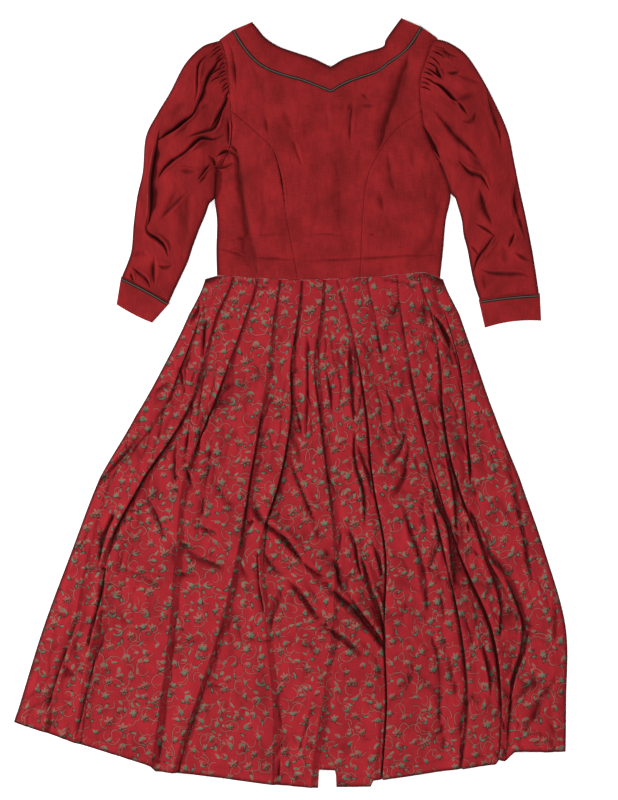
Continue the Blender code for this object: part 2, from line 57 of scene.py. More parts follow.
# Waist and hem of the skirt, as points (x, y) from left to right
WAIST = ((-136, 198), (-118, 203), (-81, 201), (-33, 198), (15, 196), (79, 198),
         (143, 202), (191, 207), (215, 208), (244, 197))
HEM = ((-442, -511), (-396, -525), (-351, -541), (-286, -561), (-225, -579), (-216, -589),
       (-171, -592), (-106, -600), (-28, -610), (44, -615), (73, -614), (128, -613),
       (130, -604), (244, -588), (328, -578), (333, -571), (342, -573), (358, -558),
       (440, -558))
NOTCH = ((45, -586), (72, -587))

# The skirt's sides and its knife pleats: where each runs (x) at these heights (y)
LEVELS = (200, 140, 60, -20, -120, -240, -360, -480, -600)
LEFT_SIDE = (-137, -164, -203, -248, -306, -352, -396, -433, -468)
RIGHT_SIDE = (244, 271, 299, 327, 366, 407, 440, 441, 440)

# hidden: cloth folded under at the waist; opens: drop below which the pleat has opened;
# lee: width of its steep side; crest, hem: its height half way down and at the hem
Pleat = namedtuple("Pleat", "x hidden opens lee crest hem")
LEFT_PLEATS = (
    Pleat((-127, -146, -175, -213, -288, -325, -349, -387, -400), 0, 1, 9, 5, 6),
    Pleat((-94, -119, -143, -172, -237, -298, -315, -338, -352), 12, 170, 14, 9, 7),
    Pleat((-55, -72, -101, -133, -172, -185, -195, -210, -225), 12, 190, 14, 11, 10),
    Pleat((-19, -27, -37, -50, -67, -87, -115, -154, -191), 12, 150, 14, 10, 11),
    Pleat((16, 11, -1, -2, -19, -53, -42, -30, -30), 12, 170, 14, 9, 9),
    Pleat((52, 47, 37, 44, 56, 68, 65, 49, 32), 10, 200, 10, 9, 9),
)
RIGHT_PLEATS = (
    Pleat((238, 250, 271, 281, 294, 328, 376, 399, 408), 0, 1, 8, 6, 7),
    Pleat((208, 226, 241, 246, 266, 312, 368, 352, 344), 11, 140, 14, 9, 8),
    Pleat((172, 178, 192, 209, 233, 271, 322, 338, 334), 12, 170, 14, 11, 10),
    Pleat((124, 136, 152, 175, 217, 247, 273, 286, 275), 14, 180, 14, 9, 9),
    Pleat((76, 93, 111, 124, 133, 154, 152, 156, 149), 10, 160, 13, 12, 10),
)
# Layers of a folded pleat: thickness, how much looser they lie where it has opened, the cloth
# still hidden there, and how far a fold rounds out
LAYER = 1.6
LOOSER = 1.0
LAST_HIDDEN = 2.2
FOLD_ROUND = 1.0
# Crests: height where a pleat has opened and the least drop for that, the drops at which its
# crest and hem heights hold, and how a side pleat's rises: 1 mm in FLAT_SLOPE of drop
OPEN_CREST = 7
OPEN_DROP = 60
MID_DROP = 400
HEM_DROP = 780
FLAT_CREST = 0.8
FLAT_SLOPE = 20
CENTRE_CREST = 1.2
# Pleats closer than FULL_ROOM have lower crests, down to this share; a steep side takes up at
# most LEE_SHARE of the room beside it
LEAST_CREST = 0.35
FULL_ROOM = 30
LEE_SHARE = 0.42
# The side edge turns under, and rounds off on its way
SIDE_TUCK = 8.0
EDGE_FLAT = 1.7
EDGE_ROUND = 0.7
# Points of a section: round its side edge, then up each pleat's panel and down its steep side
TUCK_POINTS = 4
RISE_POINTS = 3
LEE_POINTS = 6
# The panel: where it starts and stops to rise, as shares from its foot to its crest, its
# heights at three points as shares of the crest, and the middle one where it is folded
RISE_FROM = 0.28
RISE_TO = 0.76
RISE_HEIGHTS = (.12, .42, .74)
FOLDED_MIDDLE = 0.45
CENTRE_HEM_SHARES = (.035, .15, .30, .325, .62, .93, .96)

# How open and deep the dark slit beside each pleat is, judged at each of LEVELS
LEFT_SLITS_READ = (
    (0, .5, .6, .3, .4, .1, .2, .5, .4),
    (.5, .5, .45, .6, .95, .7, .4, .1, 0),
    (.4, .5, .95, .8, .35, .35, .55, .6, .4),
    (.4, .35, .25, .55, .7, .7, .55, .65, .45),
    (.5, .65, .95, .6, 1, .4, .3, .35, .1),
    (.4, .45, .6, .5, .5, .5, .0, .1, .1),
)
RIGHT_SLITS = (
    (0, .4, .6, .55, .3, .1, .1, .1, 0),
    (.3, .6, .5, .6, 1, .7, .5, .6, .4),
    (.1, .45, .5, .55, .9, .6, 1, .9, .3),
    (.1, .15, .3, .35, .3, .6, .5, .4, .4),
    (.2, .6, .6, .5, .6, .6, .7, .9, .5),
)
# The left slits are eased by these shares, the more the nearer to the hem
LEFT_SLIT_EASES = (.9, .9, .9, .8, .8, .5, .5, .5, .5)
LEFT_SLITS = [[round(slit * ease, 2) for slit, ease in zip(row, LEFT_SLIT_EASES)]
              for row in LEFT_SLITS_READ]
SLIT = 2.2
SLIT_FLOOR = -2.2
# How the crest and the steep side follow the slit: crest heights shut and open, and the slits
# between which the side turns from a soft wave to a crisp edge
SLIT_CRESTS = (.55, 1.15)
CRISP_SLITS = (.1, .6)

# Broad creases of the open skirt: ends (x, y), sideways bow of the middle, width, height
Crease = namedtuple("Crease", "x0 y0 x1 y1 bow width height")
SKIRT_CREASES = (
    Crease(-230, -125, -336, -506, -14, 15, 5),
    Crease(-30, -190, 130, -395, 6, 20, 7),
    Crease(3, -292, 118, -410, 0, 15, 4),
    Crease(48, -440, 14, -570, 0, 13, 4),
    Crease(238, -250, 262, -590, 10, 14, 4),
    Crease(303, -378, 318, -480, 0, 14, 4),
    Crease(432, -410, 362, -525, 10, 18, 6),
    Crease(340, -55, 378, -268, 6, 16, 5),
    Crease(-130, -75, -158, -235, -6, 15, 4),
    Crease(-270, -268, -195, -300, 0, 13, 3),
    Crease(-200, -408, -120, -450, 0, 13, 3),
    Crease(25, 125, 22, -66, -4, 12, 3),
)

# Outlines of the bodice, each from the top down
NECK_EDGE = ((-61, 608), (-52, 597), (-40, 583), (-18, 569), (13, 558), (37, 550), (64, 537),
             (86, 550), (117, 560), (147, 569), (153, 582), (176, 614))
NECK_SEAM = ((-92, 595), (-80, 575), (-66, 556), (-50, 541), (-30, 530), (-6, 522),
             (19, 515), (42, 506), (64, 497), (86, 510), (112, 520), (138, 529), (157, 543),
             (176, 556), (193, 574), (209, 600))
ARM_UPPER_LEFT = ((-114, 580), (-108, 567), (-102, 540), (-98, 506), (-96, 467))
ARM_LOWER_LEFT = ((-96, 467), (-95, 443), (-96, 420), (-100, 402), (-108, 386), (-120, 374))
ARM_UPPER_RIGHT = ((235, 582), (224, 570), (216, 549), (209, 524), (207, 497), (208, 466))
ARM_LOWER_RIGHT = ((208, 466), (213, 440), (221, 420), (230, 400), (240, 385))
SIDE_LEFT = ((-120, 374), (-122, 328), (-118, 291), (-119, 244), (-118, 203))
SIDE_RIGHT = ((240, 385), (256, 337), (248, 290), (244, 244), (239, 201))
PRINCESS_LEFT = ((-96, 467), (-55, 432), (-27, 402), (-15, 359), (-9, 310), (0, 260), (12, 196))
PRINCESS_RIGHT = ((208, 466), (168, 436), (141, 399), (124, 362), (117, 322), (114, 276),
                  (111, 200))
NECK_DROP = 2.5
# Seams of the bodice and how deep the cloth dips along each
SEAMS = ((PRINCESS_LEFT, .3), (PRINCESS_RIGHT, .3), (ARM_UPPER_LEFT, 2.2),
         (ARM_LOWER_LEFT, 2), (ARM_UPPER_RIGHT, 2.2), (ARM_LOWER_RIGHT, 2.2), (NECK_SEAM, .8))
SEAM_WIDTH = 2.2
SEAM_TAPER = 8
DART = 0.5
DART_WIDTH = 2.5
BAND_ROLL = 0.5
BAND_ROLL_WIDTH = 2.5

# How far the bodice's front stands off its back: x, y, radius, height
BODICE_SWELL = ((60, 430, 120, 3.0), (-15, 400, 55, 3.0), (135, 400, 55, 3.0), (60, 300, 110, 1.5))
SWELL_LEFT = (-122, -85)
SWELL_RIGHT = (248, 212)
BODICE_LIFT = 5.0
NECK_FLAT = 16
WAIST_RISE = 1.6
WAIST_FADE = 45

# The sleeves from armhole to cuff: outer and inner edge (x, y), height over the floor,
# bow: how much of the armhole's curve is left
Section = namedtuple("Section", "outer_x outer_y inner_x inner_y height bow")
LEFT_SLEEVE = (
    Section(-114, 580, -120, 374, 7, 1),
    Section(-142, 570, -126, 368, 12, .75),
    Section(-170, 541, -130, 352, 18, .35),
    Section(-193, 497, -127, 331, 19, .12),
    Section(-214, 462, -135, 302, 17, 0),
    Section(-232, 425, -145, 278, 15, 0),
    Section(-237, 370, -155, 251, 13, 0),
    Section(-246, 330, -164, 224, 12, 0),
    Section(-252, 283, -176, 198, 11, 0),
    Section(-256, 241, -185, 179, 9, 0),
    Section(-271, 201, -194, 159, 6, 0),
)
RIGHT_SLEEVE = (
    Section(235, 582, 240, 385, 7, 1),
    Section(254, 576, 247, 374, 13, .75),
    Section(280, 558, 253, 356, 18, .35),
    Section(304, 523, 260, 336, 19, .12),
    Section(328, 478, 266, 316, 17, 0),
    Section(348, 432, 273, 291, 15, 0),
    Section(358, 385, 276, 267, 13, 0),
    Section(367, 340, 282, 244, 12, 0),
    Section(378, 291, 287, 216, 11, 0),
    Section(389, 233, 293, 188, 9, 0),
    Section(398, 174, 301, 164, 6, 0),
)
SLEEVE_EDGE = 2.0
SLEEVE_ROUND = 2.6
SLEEVE_LEAST = 1.2
SLEEVE_TUCKED = 2.0
EDGE_INSET = 1.0
# Heights (y) below which the gap between sleeve and bodice opens
LEFT_OPENS = 328
RIGHT_OPENS = 337

# Cuffs: the two ends of the lower edge, outer then inner, and how far it bows
Cuff = namedtuple("Cuff", "outer_x outer_y inner_x inner_y bow")
LEFT_CUFF = Cuff(-278, 157, -222, 128, -2)
RIGHT_CUFF = Cuff(400, 131, 311, 120, 4.5)
CUFF_CLOTH = 1.5
CUFF_EDGE = 2.0
CUFF_SWELL = 1.9
CUFF_LOW = 0.6
CUFF_TOP_BOW = 1.6
OVERLAP = 0.7

# Piping: a corded edge, half round, lying on its seam
PIPING_WIDTH = 4.8
PIPING_HEIGHT = 1.9
CUFF_PIPING_INSET = 4.0
CUFF_PIPING_ENDS = (.02, .98)
PIPING_LIFT = 0.2

# Photograph: size of one of its pixels, and the pixel (right, down) at x = 0, y = 0
PIXEL = 1.6
ZERO_PX = 290.7
ZERO_PY = 402.7

# Fold: height of its ridge, then how far it falls off to the left and to the right of its run
# of points; a negative height is a trough. In the tables that end in READ the points are
# pixels of the photograph, read one by one; where a run goes down the page, its left is the
# page's right
Fold = namedtuple("Fold", "height left right points")
# Skirt: pleat edges, diagonals and pressed creases
SKIRT_READ = (
    # The first two troughs are dark corners at the waist, deep enough for their painted shade to turn
    # near black
    Fold(-40, 3, 3, ((190, 287), (206, 281), (212, 278.8), (220, 277), (226, 276))),
    Fold(-40, 3, 3, ((420, 273), (427, 274.4), (433, 276), (438, 278.6), (448, 289))),
    Fold(-4, 5, 5, ((200, 300), (198, 312), (190, 324))),
    Fold(-2.5, 3, 3, ((178, 361), (182, 375), (185, 393))),
    Fold(-3.5, 3, 3, ((154, 393), (164, 387), (174, 381))),
    Fold(-4, 6, 4, ((213, 318), (206, 326), (204, 345), (202, 365))),
    Fold(-2.2, 3, 3, ((163, 409), (162, 423), (158, 441))),
    Fold(-4, 5, 3, ((144, 433), (130, 449), (114, 467), (102, 481), (90, 497))),
    Fold(-1.8, 3, 3, ((224, 321), (236, 335))),
    Fold(-4.5, 3, 3, ((212, 405), (220, 402), (230, 401))),
    Fold(-3, 3, 3, ((218, 393), (228, 387), (236, 383))),
    Fold(-6, 4, 6, ((211, 407), (202, 427), (197, 447))),
    Fold(-4.5, 3, 3, ((190, 419), (189, 435), (186, 463), (190, 479), (195, 491))),
    Fold(-5.5, 2.5, 2.5, ((177, 441), (175.6, 455), (176, 475), (178, 501))),
    Fold(-4, 3, 3, ((212, 431), (211, 455), (208, 475), (206, 495), (201, 519), (196, 544))),
    Fold(-3.5, 3, 3, ((216, 483), (226, 497), (238, 513))),
    Fold(-3.2, 3, 3, ((254, 363), (262, 375), (267, 384))),
    Fold(-4, 3, 3, ((136, 495), (133, 511), (131, 529))),
    Fold(-3.5, 6, 4, ((146, 493), (157, 517), (162, 529), (166, 548))),
    Fold(-4, 3, 3, ((244, 523), (256, 521))),
    Fold(-3, 3, 3, ((307, 325), (307, 355), (307, 395), (305, 445))),
    Fold(-3.2, 3, 3, ((292, 399), (298, 415), (304, 445))),
    Fold(-4, 3, 3, ((326, 369), (330, 395), (332, 411))),
    Fold(-5, 3, 3, ((291, 461), (298, 481), (308, 505), (318, 529))),
    Fold(-5.5, 4, 4, ((350, 343), (349, 355), (350, 375), (352, 403), (354, 427))),
    Fold(-5, 3, 3, ((356, 429), (353, 445), (355, 465), (362, 489), (364, 515), (363, 529))),
    Fold(-3.5, 3, 3, ((357, 443), (362, 459), (368, 475), (372, 495))),
    Fold(-4.5, 3, 3, ((379, 493), (386, 503), (391, 515))),
    Fold(-4.5, 3, 3, ((406, 433), (398, 451), (386, 469))),
    Fold(-4.5, 6, 4, ((409, 441), (406, 459), (403, 475), (394, 493), (390, 503))),
    Fold(-4, 6, 6, ((400, 301), (394, 313), (388, 321))),
    Fold(-3.5, 4, 4, ((380, 279), (400, 283), (420, 287))),
    Fold(-3, 7, 7, ((424, 300), (425, 315), (426, 330))),
    Fold(-8, 4, 3, ((430, 309), (440, 326), (447, 340), (450, 350))),
    Fold(4, 2.5, 2.5, ((426, 293), (430, 307), (440, 321), (450, 335), (456, 347), (459, 361))),
    Fold(-4, 3, 3, ((466, 439), (468, 455), (469, 471), (470, 487))),
    Fold(-6, 4, 3, ((486, 387), (496, 415), (506, 447), (510, 475), (517, 510), (523, 540), (527, 564),
          (532, 584))),
    Fold(-4.5, 3, 3, ((446, 451), (450, 475), (454, 499), (455, 520), (458, 560))),
    Fold(-3.5, 3, 3, ((424, 493), (421, 511), (425, 529))),
    Fold(-13, 2, 5, ((255, 508), (258, 514), (266, 524), (274, 530), (284, 538), (294, 550),
          (302, 561))),
    Fold(-8, 1.8, 5, ((298, 560), (310, 569), (318, 574), (332, 590), (348, 604), (364, 618),
          (380, 640), (388, 654))),
    Fold(-3.5, 3, 3, ((258, 540), (258, 570), (260, 590), (263, 608), (263, 628))),
    Fold(-4.5, 5, 5, ((263, 648), (265, 664), (265, 686), (266, 700), (266, 720))),
    Fold(-4.5, 7, 5, ((282, 580), (278, 600), (272, 616), (270, 632))),
    Fold(5, 4, 4, ((260, 520), (280, 540), (300, 564), (330, 594), (360, 625), (384, 650))),
    Fold(-7, 2.5, 4, ((264, 554), (274, 568), (286, 578))),
    Fold(-9, 2, 5, ((286, 578), (300, 592), (316, 614), (332, 630), (350, 644), (366, 660))),
    Fold(-7, 4, 3, ((313, 520), (318, 538), (326, 554), (335, 566), (338, 580), (342, 590))),
    Fold(-6, 3, 4, ((345, 588), (356, 606), (364, 620), (374, 638))),
    Fold(-7, 2, 4, ((348, 528), (356, 546), (358, 564), (364, 584))),
    Fold(-11, 2, 5, ((360, 556), (367, 575), (372, 592), (378, 608), (383, 628), (386, 650))),
    Fold(-4, 3, 3, ((372, 540), (378, 560), (384, 580))),
    Fold(-3.2, 2.5, 2.5, ((329, 661), (323, 678), (315, 700), (306, 728), (298, 756))),
    Fold(-3.2, 3, 5, ((323, 690), (316, 720), (312, 744), (308, 762))),
    Fold(-2.5, 4, 4, ((281, 755), (278, 780))),
    Fold(-3, 3, 3, ((240, 638), (262, 640), (278, 639), (290, 641))),
    Fold(-3, 3, 3, ((300, 644), (314, 648), (319, 658))),
    Fold(-2, 3, 3, ((238, 562), (250, 582))),
    Fold(-6, 4, 5, ((118, 508), (110, 524), (104, 540), (99, 566))),
    Fold(-5.5, 3, 3, ((130, 524), (128, 542), (122, 560), (117, 580), (114, 600))),
    Fold(-3, 2.5, 2.5, ((114, 600), (104, 640), (96, 660), (89, 686), (83, 710), (77, 738))),
    Fold(-6, 2.5, 2.5, ((106, 566), (103, 588), (98, 608), (93, 628), (87, 652))),
    Fold(-3.5, 3, 3, ((96, 566), (108, 569), (118, 568))),
    Fold(-5, 3, 4, ((122, 568), (130, 571), (146, 578), (162, 586), (170, 590))),
    Fold(-4, 3, 3, ((177, 536), (176, 550), (173, 572))),
    Fold(-5, 3, 3, ((179, 543), (190, 546))),
    Fold(-7, 4, 4, ((187, 548), (194, 555), (206, 561), (218, 566), (231, 575))),
    Fold(-5, 3, 3, ((201, 527), (210, 531), (219, 534))),
    Fold(-6, 3, 3, ((173, 573), (184, 574), (200, 575))),
    Fold(-3.5, 3, 4, ((79, 616), (66, 652), (53, 690), (42, 728))),
    Fold(-2.5, 3, 3, ((64, 664), (76, 678))),
    Fold(-2.8, 3, 3, ((206, 682), (218, 686), (229, 688))),
    Fold(-5, 4, 4, ((403, 504), (409, 530), (415, 546), (420, 566), (422, 586), (425, 600),
          (424, 628))),
    Fold(-4, 3, 3, ((421, 512), (425, 534))),
    Fold(-4, 3, 3, ((433, 506), (438, 540), (433, 554), (428, 570), (429, 586))),
    Fold(-10, 5, 5, ((431, 478), (436, 500), (444, 516), (449, 532), (452, 566), (454, 594))),
    Fold(-8, 4, 4, ((466, 504), (474, 522), (480, 540), (484, 554), (492, 574), (497, 590),
          (500, 608))),
    Fold(-5, 3, 3, ((497, 590), (500, 608), (499, 630), (498, 645))),
    Fold(-3.5, 3, 3, ((467, 520), (468, 534))),
    Fold(-9, 4, 4, ((484, 546), (494, 560), (504, 570), (510, 586), (516, 600), (521, 616),
          (522.4, 632), (521, 652), (516, 668), (511, 684), (510, 694))),
    Fold(-4.5, 3, 3, ((530, 608), (529, 624), (524, 644), (523, 658))),
    Fold(-9, 3, 4, ((510, 690), (511, 704), (510, 724), (507, 750))),
    Fold(-4.5, 6, 6, ((512, 702), (522, 694), (532, 684), (545, 680))),
    Fold(-3.5, 3, 3, ((502, 686), (508, 700))),
    Fold(-3, 3, 3, ((502, 716), (503, 732))),
    Fold(-6, 3, 3, ((480, 640), (484, 654), (488, 674), (490, 698))),
    Fold(-5, 3, 3, ((466, 616), (468, 638), (474, 648))),
    Fold(-6, 4, 4, ((439, 570), (440, 590), (441, 620), (444, 648), (449, 672), (454, 686),
          (452, 708))),
    Fold(-5, 3, 4, ((429, 630), (438, 656), (441, 680), (439, 704), (440, 720), (444, 740),
          (445, 766))),
    Fold(-6, 3, 3, ((465, 688), (462, 712), (460, 736), (460, 764))),
    Fold(-3.5, 3, 3, ((468, 694), (480, 704))),
    Fold(-4, 3, 3, ((407, 598), (402, 616), (400, 636), (401, 654))),
    Fold(-4.5, 3, 3, ((414, 650), (410, 670), (406, 686), (398, 694), (390, 708))),
    Fold(-4, 4, 4, ((554, 588), (554, 620), (553, 648))),
    Fold(-6, 9, 9, ((556, 672), (552, 684), (542, 698), (532, 718), (520, 738))),
    Fold(-2.5, 3, 3, ((396, 540), (402, 558), (410, 572))),
    Fold(-3, 2.5, 2.5, ((234, 281), (243, 281), (253, 282))),
    Fold(-3, 2.5, 2.5, ((256, 287), (266, 287), (276, 286))),
    Fold(-3, 2.5, 2.5, ((278, 289), (285, 289), (293, 290))),
)

# Left sleeve: folds and pulled creases
LEFT_SLEEVE_READ = (
    Fold(-6, 3, 1.6, ((220.4, 45.8), (209.6, 54), (199.7, 64), (197.6, 75.6), (196.8, 93),
          (194.3, 104))),
    Fold(3.5, 3, 3, ((214, 49), (204, 62), (201, 75), (200, 92), (197, 103))),
    Fold(-9, 6, 2, ((224, 53), (214.6, 67.3), (208, 76.4), (204.7, 87.2), (203, 93), (199.7, 102),
          (193, 116), (190, 119))),
    Fold(-16, 2.2, 6, ((200, 104), (194, 116), (184.8, 122.9), (176.5, 129.5), (168.2, 134.5),
          (158.6, 140.8), (154, 143))),
    Fold(-3.5, 8, 8, ((188, 100), (179, 110), (172, 124))),
    Fold(4, 3, 3, ((190, 125), (182, 131), (173, 137), (164, 142))),
    Fold(-13, 13, 1.8, ((160, 130), (158.2, 138), (156.6, 150), (152.1, 176.8), (151.2, 194.6),
          (150.8, 212.5), (147.2, 229))),
    Fold(3.5, 1.8, 5, ((155.2, 138), (153.6, 152), (149.4, 177), (148.6, 195), (148, 212),
          (144.6, 229))),
    Fold(-8, 5, 2.6, ((147.5, 222), (146.3, 228), (149, 234), (157.5, 239.3), (164.6, 246.4),
          (168.6, 258))),
    Fold(3, 3, 4, ((151, 233), (159, 236), (167, 244), (171, 254))),
    Fold(-11, 4, 2, ((229.5, 88), (224.5, 104), (218, 116), (213, 125), (210, 130))),
    Fold(-8, 2.6, 4, ((225, 104), (218, 123.5), (213.8, 129.5), (207, 132), (194, 136.5), (186, 140))),
    Fold(-12, 2.2, 4, ((226.2, 132.8), (222, 137), (213, 140.3), (203, 138.8), (196.4, 143.6),
          (188.9, 151), (176.5, 159.4))),
    Fold(4, 4, 2, ((212, 144), (203, 143), (197, 148), (190, 155))),
    Fold(-10, 2.5, 7, ((193.2, 150), (186, 154.5), (173.6, 161.6), (164.6, 170.5), (158, 180))),
    Fold(-8, 3, 4, ((228, 118), (229, 132), (229, 146))),
    Fold(3, 1.6, 1.6, ((170, 169.4), (182.5, 168.3), (195.9, 170), (205.7, 168.8), (210, 165))),
    Fold(-4, 2.5, 2.5, ((180, 171.5), (190, 173), (199, 172.5))),
    Fold(-9, 2, 4, ((212, 163.5), (205.7, 171.4), (198, 182))),
    Fold(-5, 4, 2, ((211, 169), (206, 176), (199, 186))),
    Fold(-3.5, 3, 7, ((191.4, 190.2), (177, 203.6), (164.6, 216), (157, 225))),
    Fold(-3, 10, 14, ((190, 190), (188, 212), (186, 239), (182, 262))),
    Fold(-6, 4, 6, ((156, 256), (154, 270.5), (154.8, 285))),
    Fold(-5, 3, 4, ((157.5, 265.2), (166.4, 267.4), (174, 265))),
    Fold(-7, 2.5, 5, ((131.6, 266), (137.9, 272.3), (146.8, 279.5), (151.6, 289))),
    Fold(-5, 2, 3, ((130.5, 272), (134.6, 283))),
    Fold(-3.5, 4, 4, ((132.5, 257), (141.4, 253.6), (149.5, 256.3))),
    Fold(-10, 2.5, 2.5, ((209, 156), (212.9, 160.7), (215.5, 167.9))),
    Fold(-7, 3, 3, ((215.5, 167), (216.4, 179.5), (214.6, 190))),
    Fold(-3, 4, 4, ((202, 109.6), (212, 104.6))),
    Fold(-3, 6, 6, ((178, 190), (170, 205), (163, 222))),
)

# Right sleeve: folds and pulled creases
RIGHT_SLEEVE_READ = (
    Fold(-7, 2, 3.5, ((434, 48.2), (442.4, 50), (449.8, 54.9), (459.8, 57.8))),
    Fold(3, 3, 3, ((437, 54), (444, 58), (452, 62))),
    Fold(-8, 2, 3, ((435.5, 66.5), (439, 74.8), (443.4, 81))),
    Fold(-13, 6, 2.4, ((431, 83), (439, 86.4), (445.7, 93), (451.5, 99.7), (457.5, 103))),
    Fold(3, 4, 3, ((440, 95), (448, 102), (454, 108))),
    Fold(-6, 2.5, 2, ((456.5, 102), (461.4, 108.8), (467, 116.4))),
    Fold(-5.5, 3, 3, ((461.4, 122), (468, 122.6), (472.8, 120.6), (475.5, 112))),
    Fold(-6, 2.4, 4, ((445.5, 72.5), (452.3, 74), (461, 72))),
    Fold(-4.5, 5, 5, ((456, 75), (468, 79.8), (482, 84.2))),
    Fold(-3.5, 4, 4, ((455.5, 101.3), (466.4, 98), (476, 93.4))),
    Fold(-5, 8, 2.5, ((485, 84), (489, 105), (494, 122), (498, 134), (501, 150))),
    Fold(-14, 2.4, 2.4, ((423, 126.5), (429, 137.8), (435.7, 150), (440.4, 161))),
    Fold(4, 4, 3, ((428, 130), (434, 140), (440, 150))),
    Fold(-8, 15, 6, ((434, 111), (452.3, 133.7), (464.8, 147), (478, 160))),
    Fold(-9, 3, 6, ((457, 160), (468.6, 172.9), (480, 176.3), (485.8, 184.4), (490, 193))),
    Fold(-4.5, 7, 7, ((467, 154), (475, 161), (484, 169))),
    Fold(-7, 8, 6, ((479, 189), (482.4, 207), (492, 226))),
    Fold(-6, 4, 2, ((474, 223.6), (485.8, 230), (495, 237))),
    Fold(-8, 2.4, 4.5, ((496, 233), (485.8, 247.4), (477.8, 258.8), (472.6, 276))),
    Fold(3, 4, 3, ((499, 238), (489, 252), (482, 263))),
    Fold(-5, 2, 2, ((470, 245), (479, 255.5))),
    Fold(-7, 3, 5, ((478, 268), (489.3, 272.6), (508.7, 273.7), (520.2, 273.7), (535, 277.6))),
    Fold(-6, 8, 2.2, ((515.8, 176), (513.3, 201.5), (517.9, 221), (526, 242))),
    Fold(3, 2, 5, ((512, 180), (509.5, 202), (513, 222))),
    Fold(-6, 3, 4, ((515, 232), (508.4, 248.6))),
    Fold(-5, 4, 3, ((514, 252.4), (524.8, 258.8), (536, 261.4))),
    Fold(-3.5, 7, 7, ((503, 246), (506.4, 264))),
    Fold(-3.5, 4, 4, ((483.5, 273.7), (486, 290))),
    Fold(-3.5, 6, 6, ((445, 158), (455, 165), (461, 163))),
)

# Gathers at each sleeve's head: pixels of the start, then of the end
LEFT_GATHERS_READ = (
    (224, 43, 210, 49), (225, 45, 212, 53), (226, 47, 209, 61), (227, 52, 216, 62),
    (227.6, 56, 213, 68), (228.4, 62, 219, 69), (229, 66, 209, 77), (229.6, 70, 217, 78),
    (230, 74, 209, 84), (230.6, 78, 219, 85), (231, 82, 222, 90), (231.6, 86, 222, 94),
    (232, 90, 224, 100),
)

# The same at the right sleeve's head
RIGHT_GATHERS_READ = (
    (433, 47, 449, 52), (430, 51, 446, 60), (428, 56, 441, 68), (425, 62, 438, 70),
    (423, 67, 441, 80), (421, 72, 434, 78), (419.5, 77, 436, 85), (418, 82, 431, 87),
    (417.5, 87, 432, 92),
)

# Bodice: soft creases and the waist seam's edge inside
BODICE_READ = (
    Fold(-5.5, 4, 3, ((229, 42), (233, 56), (235, 74), (237, 94))),
    Fold(-9, 5.5, 5.5, ((230, 142), (235, 150), (239, 164), (241.5, 184), (244.5, 208), (248, 232),
          (253, 254), (258, 274))),
    Fold(-4, 1.8, 6, ((236, 152), (239.6, 172), (242.6, 192), (245.6, 214), (249.4, 234), (254, 248))),
    Fold(-8, 11, 11, ((242, 236), (247, 252), (253, 272))),
    Fold(-7, 1.4, 1.8, ((273, 150), (275.6, 156), (282, 179.3), (285.8, 209), (286, 214))),
    Fold(-4, 3, 3, ((265.6, 117), (268, 136))),
    Fold(-5, 3, 5, ((291.5, 136), (298.9, 157), (302.6, 168))),
    Fold(-4, 6, 6, ((283, 108), (290, 124), (294, 134))),
    Fold(-9, 19, 9, ((410, 50), (403, 72), (395, 97), (386, 121), (377.6, 153))),
    Fold(-7, 6, 6, ((387.6, 151), (391.4, 179.3), (395.6, 192))),
    Fold(-5, 3, 4, ((353.4, 100), (349.9, 129.9), (351, 145))),
    Fold(-4.5, 1.8, 1.8, ((361, 92.4), (368, 100.4))),
    Fold(-4.5, 1.8, 1.8, ((360, 106.7), (376.4, 106))),
    Fold(-4, 3, 3, ((348, 112), (352, 102))),
    Fold(-3.5, 5, 5, ((361, 148), (357, 176))),
    Fold(-5, 1.4, 4, ((252.6, 257.2), (279.7, 259.2), (304, 260.9))),
    Fold(-5, 1.4, 4, ((300, 260.8), (343.5, 259.4), (407.3, 256), (442, 254.4))),
    Fold(-3.5, 1.2, 2, ((300, 233.3), (337.2, 234.3), (353, 237))),
    Fold(-3.5, 1.2, 2, ((254.4, 235.2), (291, 234.2))),
    Fold(-4, 1.2, 2, ((368, 233.3), (376.4, 235.2))),
    Fold(-5, 1.4, 3.5, ((218, 247.6), (235, 252.7), (255.6, 259.4))),
    Fold(-6, 3.5, 3.5, ((235.6, 238.1), (254, 238.4))),
    Fold(-4.5, 5, 5, ((411.4, 143), (413.9, 169))),
    Fold(-5, 6, 6, ((422.8, 167), (426.7, 201))),
    Fold(-5, 8, 8, ((441, 200), (430, 241.5), (405, 268))),
    Fold(-4.5, 8, 8, ((336, 160), (340, 190), (339.6, 218), (343.4, 234))),
    Fold(-5, 5, 5, ((379.6, 191), (384, 212))),
    Fold(-4, 6, 6, ((310, 240), (318, 210), (316, 180))),
    Fold(-4, 6, 6, ((262, 190), (266, 215), (262, 240))),
    Fold(-4, 5, 5, ((327, 110), (329, 135))),
    Fold(-9, 1.8, 2.6, ((421, 122), (424, 128), (430, 142), (438, 158))),
    Fold(-4, 7, 7, ((250, 60), (262, 85), (266, 105))),
)

# The sleeve's bunch under the left arm, over sleeve and bodice
UNDERARM_READ = (
    Fold(8, 5, 5, ((217.6, 163.6), (223, 158.4), (231, 158.6))),
    Fold(-15, 3, 1.8, ((213, 168.6), (216, 168.4), (225.4, 167.8), (235, 163))),
    Fold(-11, 2, 4, ((216, 157), (218, 156), (225, 151.6), (233, 153.6), (238, 159))),
)

# An even trough of the skirt no wider or deeper than this gets a crisp side towards the
# middle (a pixel column), with these shares of its width on its crisp and its soft side
EVEN_WIDTH = 5
EVEN_DEEPEST = -15
MIDDLE_PX = 300
CRISP_WIDTH = 0.6
SOFT_WIDTH = 1.5
# Troughs at least this deep keep only a share of their depth on the sleeves; on the right one
# only those that start below a pixel row
EASED_FROM = -6
LEFT_EASE = 0.84
RIGHT_EASE = 0.9
RIGHT_EASE_BELOW = 150
# The same for the bodice: shares for deep troughs, for broad ones (widest and narrowest side
# at least this wide) and for the others
BODICE_DEEP = -9
BODICE_BROAD = (5, 3)
BODICE_EASES = (.9, .55, .75)

